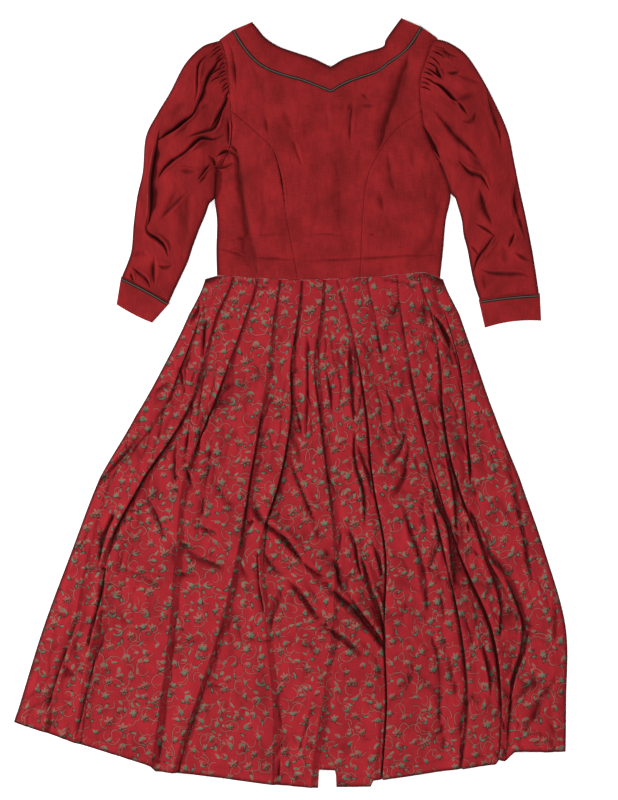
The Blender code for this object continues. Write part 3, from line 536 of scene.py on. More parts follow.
# Grids of the shells: steps, shares and numbers of points, and spacing of loose points
PANEL_STEPS = 6
LEE_STEPS = 2
SKIRT_SHARES = np.concatenate((np.linspace(0, .965, 217)[:-1], np.linspace(.965, 1, 13)))
PATH_STEPS = 6
NECK_STEPS = 5
SLEEVE_RINGS = 330
SLEEVE_ACROSS = 180
SLEEVE_UNDER = 24
CUFF_ACROSS = 48
CUFF_DOWN = 22
NECK_PIPING_POINTS = 150
CUFF_PIPING_POINTS = 60
FRONT_GRID = 1.9
BACK_GRID = 8.0
ROW_SPACING = 0.866
LEAST_SPACING = 0.35
BODICE_BACK_GRID = 6.0
BACK_ROWS = 8
BACK_INSET = 0.6
SHELL = 1.1
BAND_SHELL = 1.4

# Hem turned up inside and stitched, and the skirt's columns that round off its side edge
HEM_EDGE = 0.4
HEM_TURN = 14.0
HEM_STITCH = 16.0
STITCH_DEPTH = 1.5
STITCH_WIDTH = 1.6
EDGE_COLUMNS = 8
# The print's places on two neighbouring panels lie this far apart; a panel's lean is evened
# out over this many rows each way
PANEL_STEP = 97.0
LEAN_ROWS = 20
# Lift of the creased cloth over its solid, and how far a crease may go below it
SKIRT_LIFT = 5.0
LOWEST = -0.2
# Grooves of the pressed pleats and darts in the underside
GROOVE = 0.55
GROOVE_WIDTHS = (3, 16)

# Profile of a fold: reach in widths, share of its soft part and how fast that falls, how
# much slimmer the crisp side is, height of the ridge beside it, and its thin ends
FOLD_REACH = 3
FOLD_STEPS = 4
SOFT_SHARE = 0.5
SOFT_POWER = 1.2
SHARP = 0.6
RIDGE = 0.3
TAPER = 45.0
LONGEST_TAPER = 0.45
THIN_END = 0.3
SKIRT_FOLD_GAIN = 1.8
SKIRT_FINEST = 5.0
GATHER_DEPTH = 7.0
GATHER_WIDTHS = (1.1, 1.5)
GATHER_BOW = (0.8, 1.9)

# Small uneven waves in the cloth; squeeze: share of y that counts, which draws them out
Wave = namedtuple("Wave", "squeeze size seed height")
SKIRT_WAVES = (Wave(1, 55, 3.3, 2.4), Wave(1, 24, 8.1, 1.3), Wave(.22, 9, 6.2, 1.3))
BODICE_WAVES = (Wave(1, 60, 5.5, 1.4), Wave(.4, 26, 2.2, 1.5), Wave(.3, 8, 4.4, .7))
SLEEVE_WAVES = (Wave(1, 45, 6.6, 2.6), Wave(1, 20, 4.2, 1.1))
BAND_WAVES = (Wave(1, 30, 1.7, .3),)
CUFF_WAVES = (Wave(1, 22, 9.9, .5),)
WORN_WAVES = (Wave(1, 17, 7.7, .5),)
# Fine pressed creases of the skirt: they run where the first wave crosses 0 and show where
# the second is high; they fan out to this many times their spacing at the waist
PRESSED_PATHS = (Wave(.25, 12, 5.9, 1),)
PRESSED_PATCHES = (Wave(1, 36, 2.6, 2),)
PRESSED_SHARE = 0.45
PRESSED_WIDTH = 0.11
PRESSED_DEPTH = 2.6
# How much painted shade darkens a pressed line
PRESSED_SHADE = 3.2
SKIRT_FAN = 2.3

# Painted shade of a crease, as occlusion would darken it: cell of the height map, rounds that
# smooth it, and for a steep wall and a broad valley their share and the depths (mm) between
# which it grows
CREASE_CELL = 1.7
CREASE_PAD = 12
BROAD_ROUNDS = 44
WALL_SHADE = (.55, 1, 7)
VALLEY_SHADE = (.38, 0, 7)
# Painted shade: depth that stays unshaded and depth over which a fold darkens; the dark band
# painted along an outer edge and its width, and the shade painted in a groove and in the neck
# band's dips
UNSHADED = 0.3
SHADE_DEPTH = 16.0
EDGE_SHADE = 34.0
EDGE_BAND = 3.2
GROOVE_SHADE = 6
BAND_SHADE = 0.8
# How much of the painted crease shade shows
CREASE_SHADE = 0.93

# Print: layers of scattered spots, their spacing and how far each strays, then how the layer
# is turned and shifted
Layer = namedtuple("Layer", "spacing scatter turn shift")
MOTIFS = Layer(26, .62, .3, (7, 3, 0))
BUDS = Layer(13, .7, 1.1, (31, 12, 0))
WIDE_VINES = Layer(36, .8, .7, (11, 40, 0))
NARROW_VINES = Layer(23, .8, 2.0, (90, 5, 0))
MOTIF_SIZE = 0.76
MOTIF_RANGE = 0.40
BUDS_LEFT_OUT = 0.66
# A random number chooses each motif: flowers up to the first share, then stars up to the
# second, crescents up to the third, and leaves
FLOWERS_TO = 0.18
PETALS_TO = 0.42
MOONS_TO = 0.76
# A petal's middle from the heart, and its half widths along and across
FLOWER_PETAL = (4.4, 2.0, .95)
STAR_PETAL = (2.4, 2.7, 1.1)
FLOWER_HEART = 1.2
# A crescent is a disc less a bitten disc, with a curl of thin line in the bite
MOON_REACH = 5.6
MOON_BITE = (2.3, .9)
BITE_REACH = 4.7
CURL_REACH = 2.9
CURL_HALF = 0.3
# A leaf bends along a parabola and ends in a stalk
LEAF_LONG = 4.6
LEAF_WIDE = 2.0
STALK_HALF = 0.28
STALK_FROM = 4.2
STALK_TO = 9.5
BUD_WIDE = 1.5
FAR = 9
THREAD_SHARE = 0.6

# Colours, linear
DEEP_RED = (0.208, 0.0099, 0.0115, 1)
BRIGHT_RED = (0.285, 0.0130, 0.0190, 1)
PRINT_LIGHT = (0.110, 0.150, 0.100, 1)
PRINT_GREEN = (0.050, 0.125, 0.075, 1)
PRINT_DARK = (0.026, 0.010, 0.008, 1)
# Colour towards which painted shade darkens the cloth
PAINTED_SHADE_DARK = (0.020, 0.001, 0.001, 1)
VINE_PINK = (0.270, 0.160, 0.120, 1)
PIPING_DARK = (0.008, 0.010, 0.009, 1)
PIPING_CORE = (0.130, 0.100, 0.075, 1)
FLOOR_WHITE = (0.93, 0.93, 0.92, 1)

# Stage in metres: the floor's half width and height, the middle and height of the
# photograph's frame, and the lens and sensor that see it
FLOOR_REACH = 4
FLOOR_Z = -0.0004
FRAME_MIDDLE = (.0293, .0043)
FRAME_HEIGHT = 1.28
LENS = 100
SENSOR = 36


def lerp(a, b, t):
    return a + (b - a) * t


def smoothstep(a, b, x):
    t = np.clip((x - a) / (b - a), 0, 1)
    return t * t * (3 - 2 * t)


def between(xs, ys, x):
    return np.interp(x, xs, ys)


def smooth_path(points, steps):
    """Points on a smooth curve through the given ones; steps to each stretch, alike or a list."""
    p = np.asarray(points, float)
    before = np.vstack((2 * p[0] - p[1], p[:-2]))
    after = np.vstack((p[2:], 2 * p[-1] - p[-2]))
    steps = np.broadcast_to(steps, len(p) - 1)
    k = np.repeat(np.arange(len(steps)), steps)
    t = np.concatenate([np.arange(n) / n for n in steps])[:, None]
    start, end = p[k], p[k + 1]
    curve = .5 * (2 * start + (end - before[k]) * t
                  + (2 * before[k] - 5 * start + 4 * end - after[k]) * t * t
                  + (3 * start - before[k] - 3 * end + after[k]) * t ** 3)
    return np.vstack((curve, p[-1:]))


def lengths(points):
    p = np.asarray(points, float)
    return np.concatenate(([0], np.cumsum(np.linalg.norm(np.diff(p, axis=0), axis=1))))


def at_shares(points, shares):
    """Points at the given shares of the length of a run of straight lines."""
    p = np.asarray(points, float)
    total = lengths(p)
    spots = np.asarray(shares) * total[-1]
    return np.stack([np.interp(spots, total, p[:, k]) for k in range(p.shape[1])], axis=1)


def shifted(points, distance):
    """The line through the points, moved to its left by distance."""
    p = np.asarray(points, float)
    run = np.vstack((p[1:] - p[:-1], p[-1:] - p[-2:-1]))
    run[1:-1] = p[2:] - p[:-2]
    size = np.linalg.norm(run, axis=1, keepdims=True)
    return p + np.stack((-run[:, 1], run[:, 0]), axis=1) / size * distance


def at_level(values, y):
    """x at height y on a smooth curve through the values given at LEVELS."""
    i = 0
    while i < len(LEVELS) - 2 and y < LEVELS[i + 1]:
        i += 1
    a, b = LEVELS[i], LEVELS[i + 1]
    t = min(1, max(0, (y - a) / (b - a)))
    before = values[max(i - 1, 0)]
    after = values[min(i + 2, len(values) - 1)]
    start = (values[i + 1] - before) / 2
    end = (after - values[i]) / 2
    h = t * t * (3 - 2 * t)
    return lerp(values[i], values[i + 1], h) + t * (1 - t) * ((1 - t) * start - t * end)


def waist_y(x):
    return between(*zip(*WAIST), x)


def hem_y(x):
    return between(*zip(*HEM), x)


def notched_hem_y(x):
    return between(*zip(*sorted(HEM + NOTCH)), x)


def in_scene(px, py):
    """The place (x, y), in whole millimetres, that a pixel of the photograph shows."""
    return round((px - ZERO_PX) * PIXEL), round((ZERO_PY - py) * PIXEL)


def placed(folds):
    """The folds with their points in the scene's millimetres."""
    return tuple(fold._replace(points=tuple(in_scene(*p) for p in fold.points)) for fold in folds)


def eased(fold, share):
    """The fold with a share of its height, in half millimetres."""
    return fold._replace(height=round(fold.height * share * 2) / 2)


def one_sided(fold):
    """A slim trough that is alike on both sides gets a crisp side towards the middle."""
    if fold.left != fold.right or fold.left > EVEN_WIDTH or not EVEN_DEEPEST < fold.height < 0:
        return fold
    widths = (round(fold.left * CRISP_WIDTH, 1), round(fold.left * SOFT_WIDTH, 1))
    left, right = widths if fold.points[0][0] < MIDDLE_PX else widths[::-1]
    return fold._replace(left=left, right=right)


def sleeve_folds(folds, share, below):
    """A sleeve's folds; the deep ones that start below a pixel row keep a share of their height."""
    return placed(eased(fold, share) if fold.height <= EASED_FROM and fold.points[0][1] > below
                  else fold for fold in folds)


def bodice_folds(folds):
    """The bodice's folds, each with a share of its height by how deep and broad it is."""
    deep, broad, other = BODICE_EASES
    wide, narrow = BODICE_BROAD
    out = []
    for fold in folds:
        sides = sorted((fold.left, fold.right))
        share = broad if sides[1] >= wide and sides[0] >= narrow else other
        out.append(eased(fold, deep if fold.height <= BODICE_DEEP else share))
    return placed(out)


SKIRT_FOLDS = placed(one_sided(fold) for fold in SKIRT_READ)
LEFT_SLEEVE_FOLDS = sleeve_folds(LEFT_SLEEVE_READ, LEFT_EASE, 0)
RIGHT_SLEEVE_FOLDS = sleeve_folds(RIGHT_SLEEVE_READ, RIGHT_EASE, RIGHT_EASE_BELOW)
BODICE_FOLDS = bodice_folds(BODICE_READ)
UNDERARM_FOLDS = placed(UNDERARM_READ)


def line_between(line, start, end):
    """The part of a line of points (x, y), x rising, from x = start to x = end."""
    xs, ys = zip(*line)
    ends = ((start, between(xs, ys, start)), (end, between(xs, ys, end)))
    return [ends[0]] + [p for p in line if start + .5 < p[0] < end - .5] + [ends[1]]


def crumple(x, y, size, seed):
    """Small uneven waves between -1 and 1 at points (x, y), given as arrays."""
    flat = [noise.noise((a / size, b / size, seed)) for a, b in zip(x.ravel(), y.ravel())]
    return np.array(flat).reshape(x.shape)


def waves(x, y, rows):
    """Height of several waves at points (x, y)."""
    return sum(row.height * crumple(x, row.squeeze * y, row.size, row.seed) for row in rows)


def worn(x, y):
    """How much of a fold shows at each point (x, y): about 1, more in places and less in others."""
    return 1 + waves(x, y, WORN_WAVES)


def pressed_lines(x, y):
    """Thin uneven creases that run mostly along y: 0 to 1."""
    strength = np.clip(PRESSED_SHARE + waves(x, y, PRESSED_PATCHES), 0, 1)
    return strength * np.exp(-(waves(x, y, PRESSED_PATHS) / PRESSED_WIDTH) ** 2)


def fold_heights(x, y, folds, taper=TAPER, finest=0):
    """What the folds add to the height at points (x, y), given as arrays.

    A fold falls off sharply on its crisp side, where a low ridge follows it, and slowly on its
    soft side, or slowly on both where they are alike. It thins out over its last millimetres,
    as many as taper. A fold that runs askew to the rows of points is no narrower than finest.
    """
    total = np.zeros_like(x)
    for fold in folds:
        line = smooth_path(fold.points, FOLD_STEPS)
        reach = FOLD_REACH * max(fold.left, fold.right)
        near = ((x > line[:, 0].min() - reach) & (x < line[:, 0].max() + reach)
                & (y > line[:, 1].min() - reach) & (y < line[:, 1].max() + reach))
        px, py = x[near], y[near]
        if not px.size:
            continue
        run = lengths(line)
        closest = np.full(px.shape, 1e9)
        side = np.zeros_like(px)
        along = np.zeros_like(px)
        slant = np.zeros_like(px)
        for k in range(len(line) - 1):
            ax, ay = line[k]
            dx, dy = line[k + 1] - line[k]
            size = hypot(dx, dy)
            t = np.clip(((px - ax) * dx + (py - ay) * dy) / size ** 2, 0, 1)
            away = np.hypot(px - ax - t * dx, py - ay - t * dy)
            better = away < closest
            closest = np.where(better, away, closest)
            side = np.where(better, dx * (py - ay) - dy * (px - ax), side)
            along = np.where(better, (run[k] + t * size) / run[-1], along)
            slant = np.where(better, 2 * abs(dx * dy) / size ** 2, slant)
        width = np.where(side > 0, fold.left, fold.right)
        soft_side = width > min(fold.left, fold.right)
        ends = min(LONGEST_TAPER, taper / run[-1])
        fade = smoothstep(0, ends, along) * smoothstep(1, 1 - ends, along)
        slim = lerp(THIN_END, 1, fade)
        crisp = np.maximum(min(fold.left, fold.right) * slim, finest * slant)
        soft = np.exp(-(closest / np.maximum(width * slim, crisp)) ** SOFT_POWER)
        shape = (1 - SOFT_SHARE) * np.exp(-(closest / crisp) ** 2) + SOFT_SHARE * soft
        if fold.left != fold.right:
            ridge = RIDGE * np.exp(-(closest / crisp - 2) ** 2)
            sharp = np.exp(-(closest / SHARP / crisp) ** 2) - ridge
            shape = np.where(soft_side, shape, sharp)
        total[near] += fold.height * np.sqrt(fade) * shape
    return total


def creases(points):
    """Painted shade of each point by how deep it lies among its neighbours: 0 on a crest, 1 in a
    crease.
    """
    spots = points.reshape(-1, 3)
    low = spots[:, :2].min(axis=0) - CREASE_PAD * CREASE_CELL
    cells = (spots[:, :2] - low) / CREASE_CELL
    near = np.round(cells).astype(int)
    base = np.floor(cells).astype(int)
    part = cells - base
    top = np.zeros(near.max(axis=0) + CREASE_PAD + 1)
    np.maximum.at(top, (near[:, 0], near[:, 1]), spots[:, 2])

    def around(field, join):
        sides = join([field, np.roll(field, 1, 0), np.roll(field, -1, 0)], axis=0)
        return join([sides, np.roll(sides, 1, 1), np.roll(sides, -1, 1)], axis=0)

    def at_spots(field):
        a, b = base.T
        low_side = lerp(field[a, b], field[a + 1, b], part[:, 0])
        high_side = lerp(field[a, b + 1], field[a + 1, b + 1], part[:, 0])
        return lerp(low_side, high_side, part[:, 1])

    top = around(top, np.max)
    broad = top
    for _ in range(BROAD_ROUNDS):
        broad = around(broad, np.mean)
    wall = at_spots(around(top, np.mean)) - spots[:, 2]
    valley = at_spots(broad) - spots[:, 2]
    wall_share, wall_from, wall_to = WALL_SHADE
    valley_share, valley_from, valley_to = VALLEY_SHADE
    return (wall_share * smoothstep(wall_from, wall_to, wall)
            + valley_share * smoothstep(valley_from, valley_to, valley))


def paint_crease_shade(mesh, points, painted_shade_depth):
    """Keeps each point's painted shade, which darkens the cloth's colour: in a crease by its
    neighbours, or by its depth (mm) in a fold, or in the dark band along an edge.

    A point of the underside has a depth below 0, and no painted shade.
    """
    painted_shade_depth = np.broadcast_to(painted_shade_depth, points.shape[:-1]).ravel()
    # Painted shade: deep folds, creases and edge bands darken the colour through the crease attribute
    fold = 1 - np.exp(-np.maximum(painted_shade_depth - UNSHADED, 0) / SHADE_DEPTH)
    layer = mesh.attributes.new("crease", "FLOAT", "POINT")
    layer.data.foreach_set("value", np.where(painted_shade_depth < 0, 0, 1 - (1 - creases(points)) * (1 - fold)))


def make_piece(name, mesh, stand_for, cloth, thickness=0):
    """A shown piece from a mesh: it replaces its solid and takes its finish."""
    made = bpy.data.objects.new(name, mesh)
    bpy.context.scene.collection.objects.link(made)
    mesh.shade_smooth()
    mesh.materials.append(cloth)
    if thickness:
        solid = made.modifiers.new("cloth", "SOLIDIFY")
        solid.thickness = thickness * MM
        solid.offset = 0
    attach(made, "root")
    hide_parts(stand_for)
    return made


def grid_mesh(name, points, uv, closed=False, far_uv=None, painted_shade_depth=0):
    """A mesh over an array of points, rows by columns by 3, in millimetres.

    uv gives the place on the cloth in metres at each point. Where far_uv is given, each column
    of faces takes uv at its near side and far_uv at its far side, so the print may jump.
    """
    rows, columns = points.shape[:2]
    mesh = bpy.data.meshes.new(name)
    quads = []
    span = columns if closed else columns - 1
    for near_row in range(0, (rows - 1) * columns, columns):
        far_row = near_row + columns
        for c in range(span):
            d = (c + 1) % columns
            quads.append((near_row + c, far_row + c, far_row + d, near_row + d))
    mesh.from_pydata((points.reshape(-1, 3) * MM).tolist(), [], quads)
    layer = mesh.uv_layers.new(name="cloth")
    near = uv[:, :span]
    far = uv[:, 1:span + 1] if far_uv is None else far_uv[:, :span]
    corners = np.stack((near[:-1], near[1:], far[1:], far[:-1]), axis=2)
    layer.data.foreach_set("uv", corners.ravel())
    paint_crease_shade(mesh, points, painted_shade_depth)
    return mesh


def inside(outline, x, y, margin):
    """True at each point (x, y) in the outline and at least margin from its edge."""
    crossings = np.zeros(x.shape, int)
    clear = np.ones(x.shape, bool)
    for (ax, ay), (bx, by) in zip(outline, np.roll(outline, -1, axis=0)):
        run = hypot(bx - ax, by - ay)
        if run < 1e-6:
            continue
        t = np.clip(((x - ax) * (bx - ax) + (y - ay) * (by - ay)) / run ** 2, 0, 1)
        clear &= np.hypot(lerp(ax, bx, t) - x, lerp(ay, by, t) - y) > margin
        if ay != by:
            crossings += ((ay > y) != (by > y)) & (x < lerp(ax, bx, (y - ay) / (by - ay)))
    return (crossings % 2 == 1) & clear


def plate_mesh(name, outline, height, spacing):
    """A surface inside an outline of (x, y).

    The function height gives each point's height, and the depth that sets its painted shade.
    """
    outline = np.asarray(outline, float)
    closed = np.vstack((outline, outline[:1]))
    total = lengths(closed)
    count = int(total[-1] / spacing)
    corners = np.unique(np.round(np.concatenate((total[:-1], np.arange(count) * spacing)), 1))
    keep = [corners[0]]
    for spot in corners[1:]:
        if spot - keep[-1] > LEAST_SPACING * spacing or spot in np.round(total, 1):
            keep.append(spot)
    edge = np.stack([np.interp(keep, total, closed[:, k]) for k in (0, 1)], axis=1)
    low, high = edge.min(axis=0), edge.max(axis=0)
    rows = np.arange(low[1] + spacing / 2, high[1], spacing * ROW_SPACING)
    inner = []
    for r, y in enumerate(rows):
        x = np.arange(low[0] + (r % 2) * spacing / 2, high[0], spacing)
        inner.append(np.stack((x, np.full_like(x, y)), axis=1))
    inner = np.vstack(inner)
    inner = inner[inside(edge, inner[:, 0], inner[:, 1], .5 * spacing)]
    plan = np.vstack((edge, inner))
    edges = [(k, (k + 1) % len(edge)) for k in range(len(edge))]
    found = delaunay_2d_cdt([Vector(p) for p in plan], edges, [], 1, 1e-4)
    spots = np.array([tuple(v) for v in found[0]])
    z, painted_shade_depth = height(spots[:, 0], spots[:, 1])
    mesh = bpy.data.meshes.new(name)
    mesh.from_pydata((np.column_stack((spots, z)) * MM).tolist(), [], found[2])
    layer = mesh.uv_layers.new(name="cloth")
    loops = np.empty(len(mesh.loops), int)
    mesh.loops.foreach_get("vertex_index", loops)
    layer.data.foreach_set("uv", (spots[loops] * MM).ravel())
    paint_crease_shade(mesh, np.column_stack((spots, z)), painted_shade_depth)
    return mesh


def bead_mesh(name, centres, width, height):
    """A half-round cord along the points (x, y, z): UV runs across it and along it."""
    angles = np.linspace(0, pi, 9)
    rounds = [(-width / 2 * np.cos(a), height * np.sin(a) ** .8) for a in angles]
    centres = np.asarray(centres, float)
    grid = np.empty((len(centres), len(rounds), 3))
    uv = np.empty((len(centres), len(rounds), 2))
    run = lengths(centres[:, :2])
    for s, (across, up) in enumerate(rounds):
        grid[:, s, :2] = shifted(centres[:, :2], -across)
        grid[:, s, 2] = centres[:, 2] + up
        uv[:, s, 0] = across / width
        uv[:, s, 1] = run * MM
    return grid_mesh(name, grid[:, ::-1], uv[:, ::-1])


def make_piping(name, centres, cloth):
    mesh = bead_mesh(name + "_cord", centres, PIPING_WIDTH, PIPING_HEIGHT)
    make_piece(name + "_cord", mesh, name, cloth)


# Shader graphs

class Term:
    """A number, vector or colour in a material's graph; arithmetic on numbers adds nodes."""

    def __init__(self, graph, socket):
        self.graph = graph
        self.socket = socket

    def __add__(self, other):
        return self.graph.math("ADD", self, other)

    def __sub__(self, other):
        return self.graph.math("SUBTRACT", self, other)

    def __rsub__(self, other):
        return self.graph.math("SUBTRACT", other, self)

    def __mul__(self, other):
        return self.graph.math("MULTIPLY", self, other)

    def __truediv__(self, other):
        return self.graph.math("DIVIDE", self, other)

    def __rtruediv__(self, other):
        return self.graph.math("DIVIDE", other, self)

    def __abs__(self):
        return self.graph.math("ABSOLUTE", self)

    def over(self, limit):
        """1 above the limit, 0 below it."""
        return self.graph.math("GREATER_THAN", self, limit)

    def under(self, limit):
        """1 below the limit, 0 above it."""
        return self.graph.math("LESS_THAN", self, limit)

    def least(self, other):
        return self.graph.math("MINIMUM", self, other)

    def most(self, other):
        return self.graph.math("MAXIMUM", self, other)


class Graph:
    """Adds nodes to a material and links what is handed to their inputs."""

    def __init__(self, name):
        self.material = bpy.data.materials.new(name)
        self.material.use_nodes = True
        self.nodes = self.material.node_tree.nodes
        self.links = self.material.node_tree.links
        self.shader = self.nodes["Principled BSDF"]

    def put(self, socket, value):
        if isinstance(value, Term):
            self.links.new(value.socket, socket)
        elif value is not None:
            socket.default_value = value

    def add(self, kind, inputs, output=0, **settings):
        """A node with its settings; inputs maps socket name or number to a value or Term.

        output is one socket's name or number, or a tuple of them for as many Terms.
        """
        node = self.nodes.new("ShaderNode" + kind)
        for key, value in settings.items():
            setattr(node, key, value)
        for key, value in inputs.items():
            self.put(node.inputs[key], value)
        if isinstance(output, tuple):
            return [Term(self, node.outputs[key]) for key in output]
        return Term(self, node.outputs[output])

    def finish(self, colour, normal, **constants):
        """Links the shader's colour and normal, and sets its constants on its own sockets."""
        self.put(self.shader.inputs["Base Color"], colour)
        self.put(self.shader.inputs["Normal"], normal)
        for name, value in constants.items():
            self.shader.inputs[name.replace("_", " ")].default_value = value
        return self.material

    def math(self, operation, a, b=None):
        return self.add("Math", {0: a, 1: b}, operation=operation)

    def vector(self, operation, a, b):
        return self.add("VectorMath", {0: a, 1: b}, operation=operation)

    def mix(self, share, a, b):
        """Between two numbers by a share."""
        return self.add("Mix", {0: share, 2: a, 3: b}, data_type="FLOAT")

    def colour(self, share, a, b):
        """Between two colours by a share."""
        return self.add("Mix", {0: share, 6: a, 7: b}, output=2, data_type="RGBA")

    def step(self, value, low, high):
        """0 below low and 1 above high; falls from 1 to 0 where low is above high."""
        return self.add("MapRange", {0: value, 1: low, 2: high, 3: 0, 4: 1},
                        interpolation_type="SMOOTHSTEP")

    def noise(self, place, stretch_x, stretch_y, detail, rough, output=0):
        """Noise whose grain is 1 / stretch millimetres each way."""
        drawn = self.vector("MULTIPLY", place, (stretch_x, stretch_y, 1))
        return self.add("TexNoise", {"Vector": drawn, "Scale": 1, "Detail": detail,
                                     "Roughness": rough}, output=output)

    def turned(self, vector, angle):
        return self.add("VectorRotate", {"Vector": vector, "Angle": angle}, rotation_type="Z_AXIS")

    def parts(self, vector):
        return self.add("SeparateXYZ", {0: vector}, output=(0, 1, 2))

    def length(self, vector):
        """Length of a vector in its plane."""
        flat = self.vector("MULTIPLY", vector, (1, 1, 0))
        return self.add("VectorMath", {0: flat}, output=1, operation="LENGTH")

    def span(self, x, y):
        return self.math("SQRT", x * x + y * y)


def shade(colour, factor):
    """A lighter or darker colour."""
    return tuple(c * factor for c in colour[:3]) + (1,)


def cloth_uv(g):
    """Place on the cloth in millimetres."""
    return g.vector("MULTIPLY", g.add("UVMap", {}, uv_map="cloth"), (1 / MM, 1 / MM, 1 / MM))


def weave(g, place):
    """Uneven threads both ways and broader clouds, about 0 to 1."""
    warp = g.noise(place, 1.0, .05, 3, .65)
    weft = g.noise(place, .06, 1.0, 3, .65)
    threads = warp * .5 + weft * .5
    return threads * THREAD_SHARE + g.noise(place, .02, .02, 3, .55) * (1 - THREAD_SHARE)


def finish_cloth(g, place, colour, strength):
    """Painted shade in creases and along edges, sheen, roughness and the small unevenness of pressed
    cotton.
    """
    # The crease attribute holds painted shade: it darkens the colour towards a near black
    crease = g.add("Attribute", {}, output=2, attribute_name="crease")
    dark = g.colour(crease * CREASE_SHADE, colour, PAINTED_SHADE_DARK)
    pressed = g.noise(place, .055, .035, 4, .55)
    threads = g.noise(place, 1.3, 1.3, 2, .5)
    soft = g.add("Bump", {"Strength": strength, "Distance": .006, "Height": pressed})
    fine = g.add("Bump", {"Strength": .12, "Distance": .0006, "Height": threads, "Normal": soft})
    return g.finish(dark, fine, Roughness=.82, Specular_IOR_Level=.08, Sheen_Weight=.03,
                    Sheen_Roughness=.5, Sheen_Tint=(1, .55, .5, 1))


def plain_cloth():
    g = Graph("red_cotton")
    place = cloth_uv(g)
    tone = g.step(weave(g, place), .35, .65)
    colour = g.colour(tone, shade(DEEP_RED, .66), shade(DEEP_RED, 1.3))
    return finish_cloth(g, place, colour, .25)


def scattered(g, place, layer):
    """A spot in each cell of a Voronoi texture.

    Gives each point's place by its spot, in millimetres, and the same turned as the cell is
    turned, and two more random numbers of the cell.
    """
    moved = g.vector("ADD", g.turned(place, layer.turn), layer.shift)
    spot, colour = g.add("TexVoronoi", {"Vector": moved, "Scale": 1 / layer.spacing,
                                        "Randomness": layer.scatter},
                         output=("Position", "Color"), voronoi_dimensions="2D")
    first, spin, last = g.parts(colour)
    straight = g.vector("SUBTRACT", moved, spot)
    return straight, g.turned(straight, spin * (2 * pi)), first, last


def oval(g, x, y, half_wide):
    """Distance to the edge of an oval, given a place in it as shares of its two half widths."""
    return (g.span(x, y) - 1) * half_wide


def motif_layer(g, place, layer):
    """Scattered motifs: distance in millimetres to the nearest one's edge, below 0 inside it.

    Each cell holds one motif: a flower or star of loose petals, a crescent, or a leaf on its
    stalk, turned at random. The second value is above 0 on the side of a motif that its
    outline leaves dark.
    """
    straight, turned, kind, size = scattered(g, place, layer)
    flat_x, flat_y, _ = g.parts(straight)
    grown = size * MOTIF_RANGE + MOTIF_SIZE
    local = g.add("VectorMath", {0: turned, 3: 1 / grown}, operation="SCALE")
    x, y, _ = g.parts(local)
    reach = g.length(local)

    star = kind.over(FLOWERS_TO)
    petals = g.mix(star, 6.0, g.math("FLOOR", size * 1.99 + 5))
    turns = g.math("ARCTAN2", y, x) * (petals / (2 * pi))
    folded = (g.math("FRACT", turns) - .5) * (2 * pi / petals)
    centre, half_long, half_wide = (g.mix(star, a, b) for a, b in zip(FLOWER_PETAL, STAR_PETAL))
    long_part = (reach * g.math("COSINE", folded) - centre) / half_long
    wide_part = reach * g.math("SINE", folded) / half_wide
    petal = oval(g, long_part, wide_part, half_wide).least(reach - FLOWER_HEART)

    bite = g.length(g.vector("SUBTRACT", local, (*MOON_BITE, 0)))
    moon = (reach - MOON_REACH).most(BITE_REACH - bite)
    curl = abs(bite - CURL_REACH) - CURL_HALF
    moon = moon.least(curl.most(y))

    leaf_x = x / LEAF_LONG
    bent_y = y + leaf_x * leaf_x
    leaf = oval(g, leaf_x, bent_y / ((1.15 - x * .12) * 2.1), LEAF_WIDE)
    stalk = (abs(bent_y) - STALK_HALF).most(x + STALK_FROM)
    leaf = leaf.least(stalk.most(-STALK_TO - x))

    shape = g.mix(kind.over(PETALS_TO), petal, moon)
    shape = g.mix(kind.over(MOONS_TO), shape, leaf)
    return shape * grown, flat_x - flat_y


def bud_layer(g, place, layer):
    """Small leaves and dots between the motifs: distance to the nearest one's edge."""
    _, turned, size, _ = scattered(g, place, layer)
    x, y, _ = g.parts(turned)
    bud = oval(g, x / (size * 2.6 + 1.3), y / BUD_WIDE, BUD_WIDE)
    return bud + size.under(BUDS_LEFT_OUT) * FAR


def vine_layer(g, place, layer):
    """Arcs of thin stalk round the spots of a layer: distance to the nearest arc.

    The second value is the distance to the dark line that runs beside it.
    """
    _, turned, size, _ = scattered(g, place, layer)
    x, y, _ = g.parts(turned)
    reach = g.length(turned)
    radius = size * (.14 * layer.spacing) + .27 * layer.spacing
    away = reach - (g.math("ARCTAN2", y, x) * (.045 * layer.spacing) + radius)
    gone = (x / reach).under(-.2) * FAR
    return abs(away) + gone, abs(away - .85) + gone


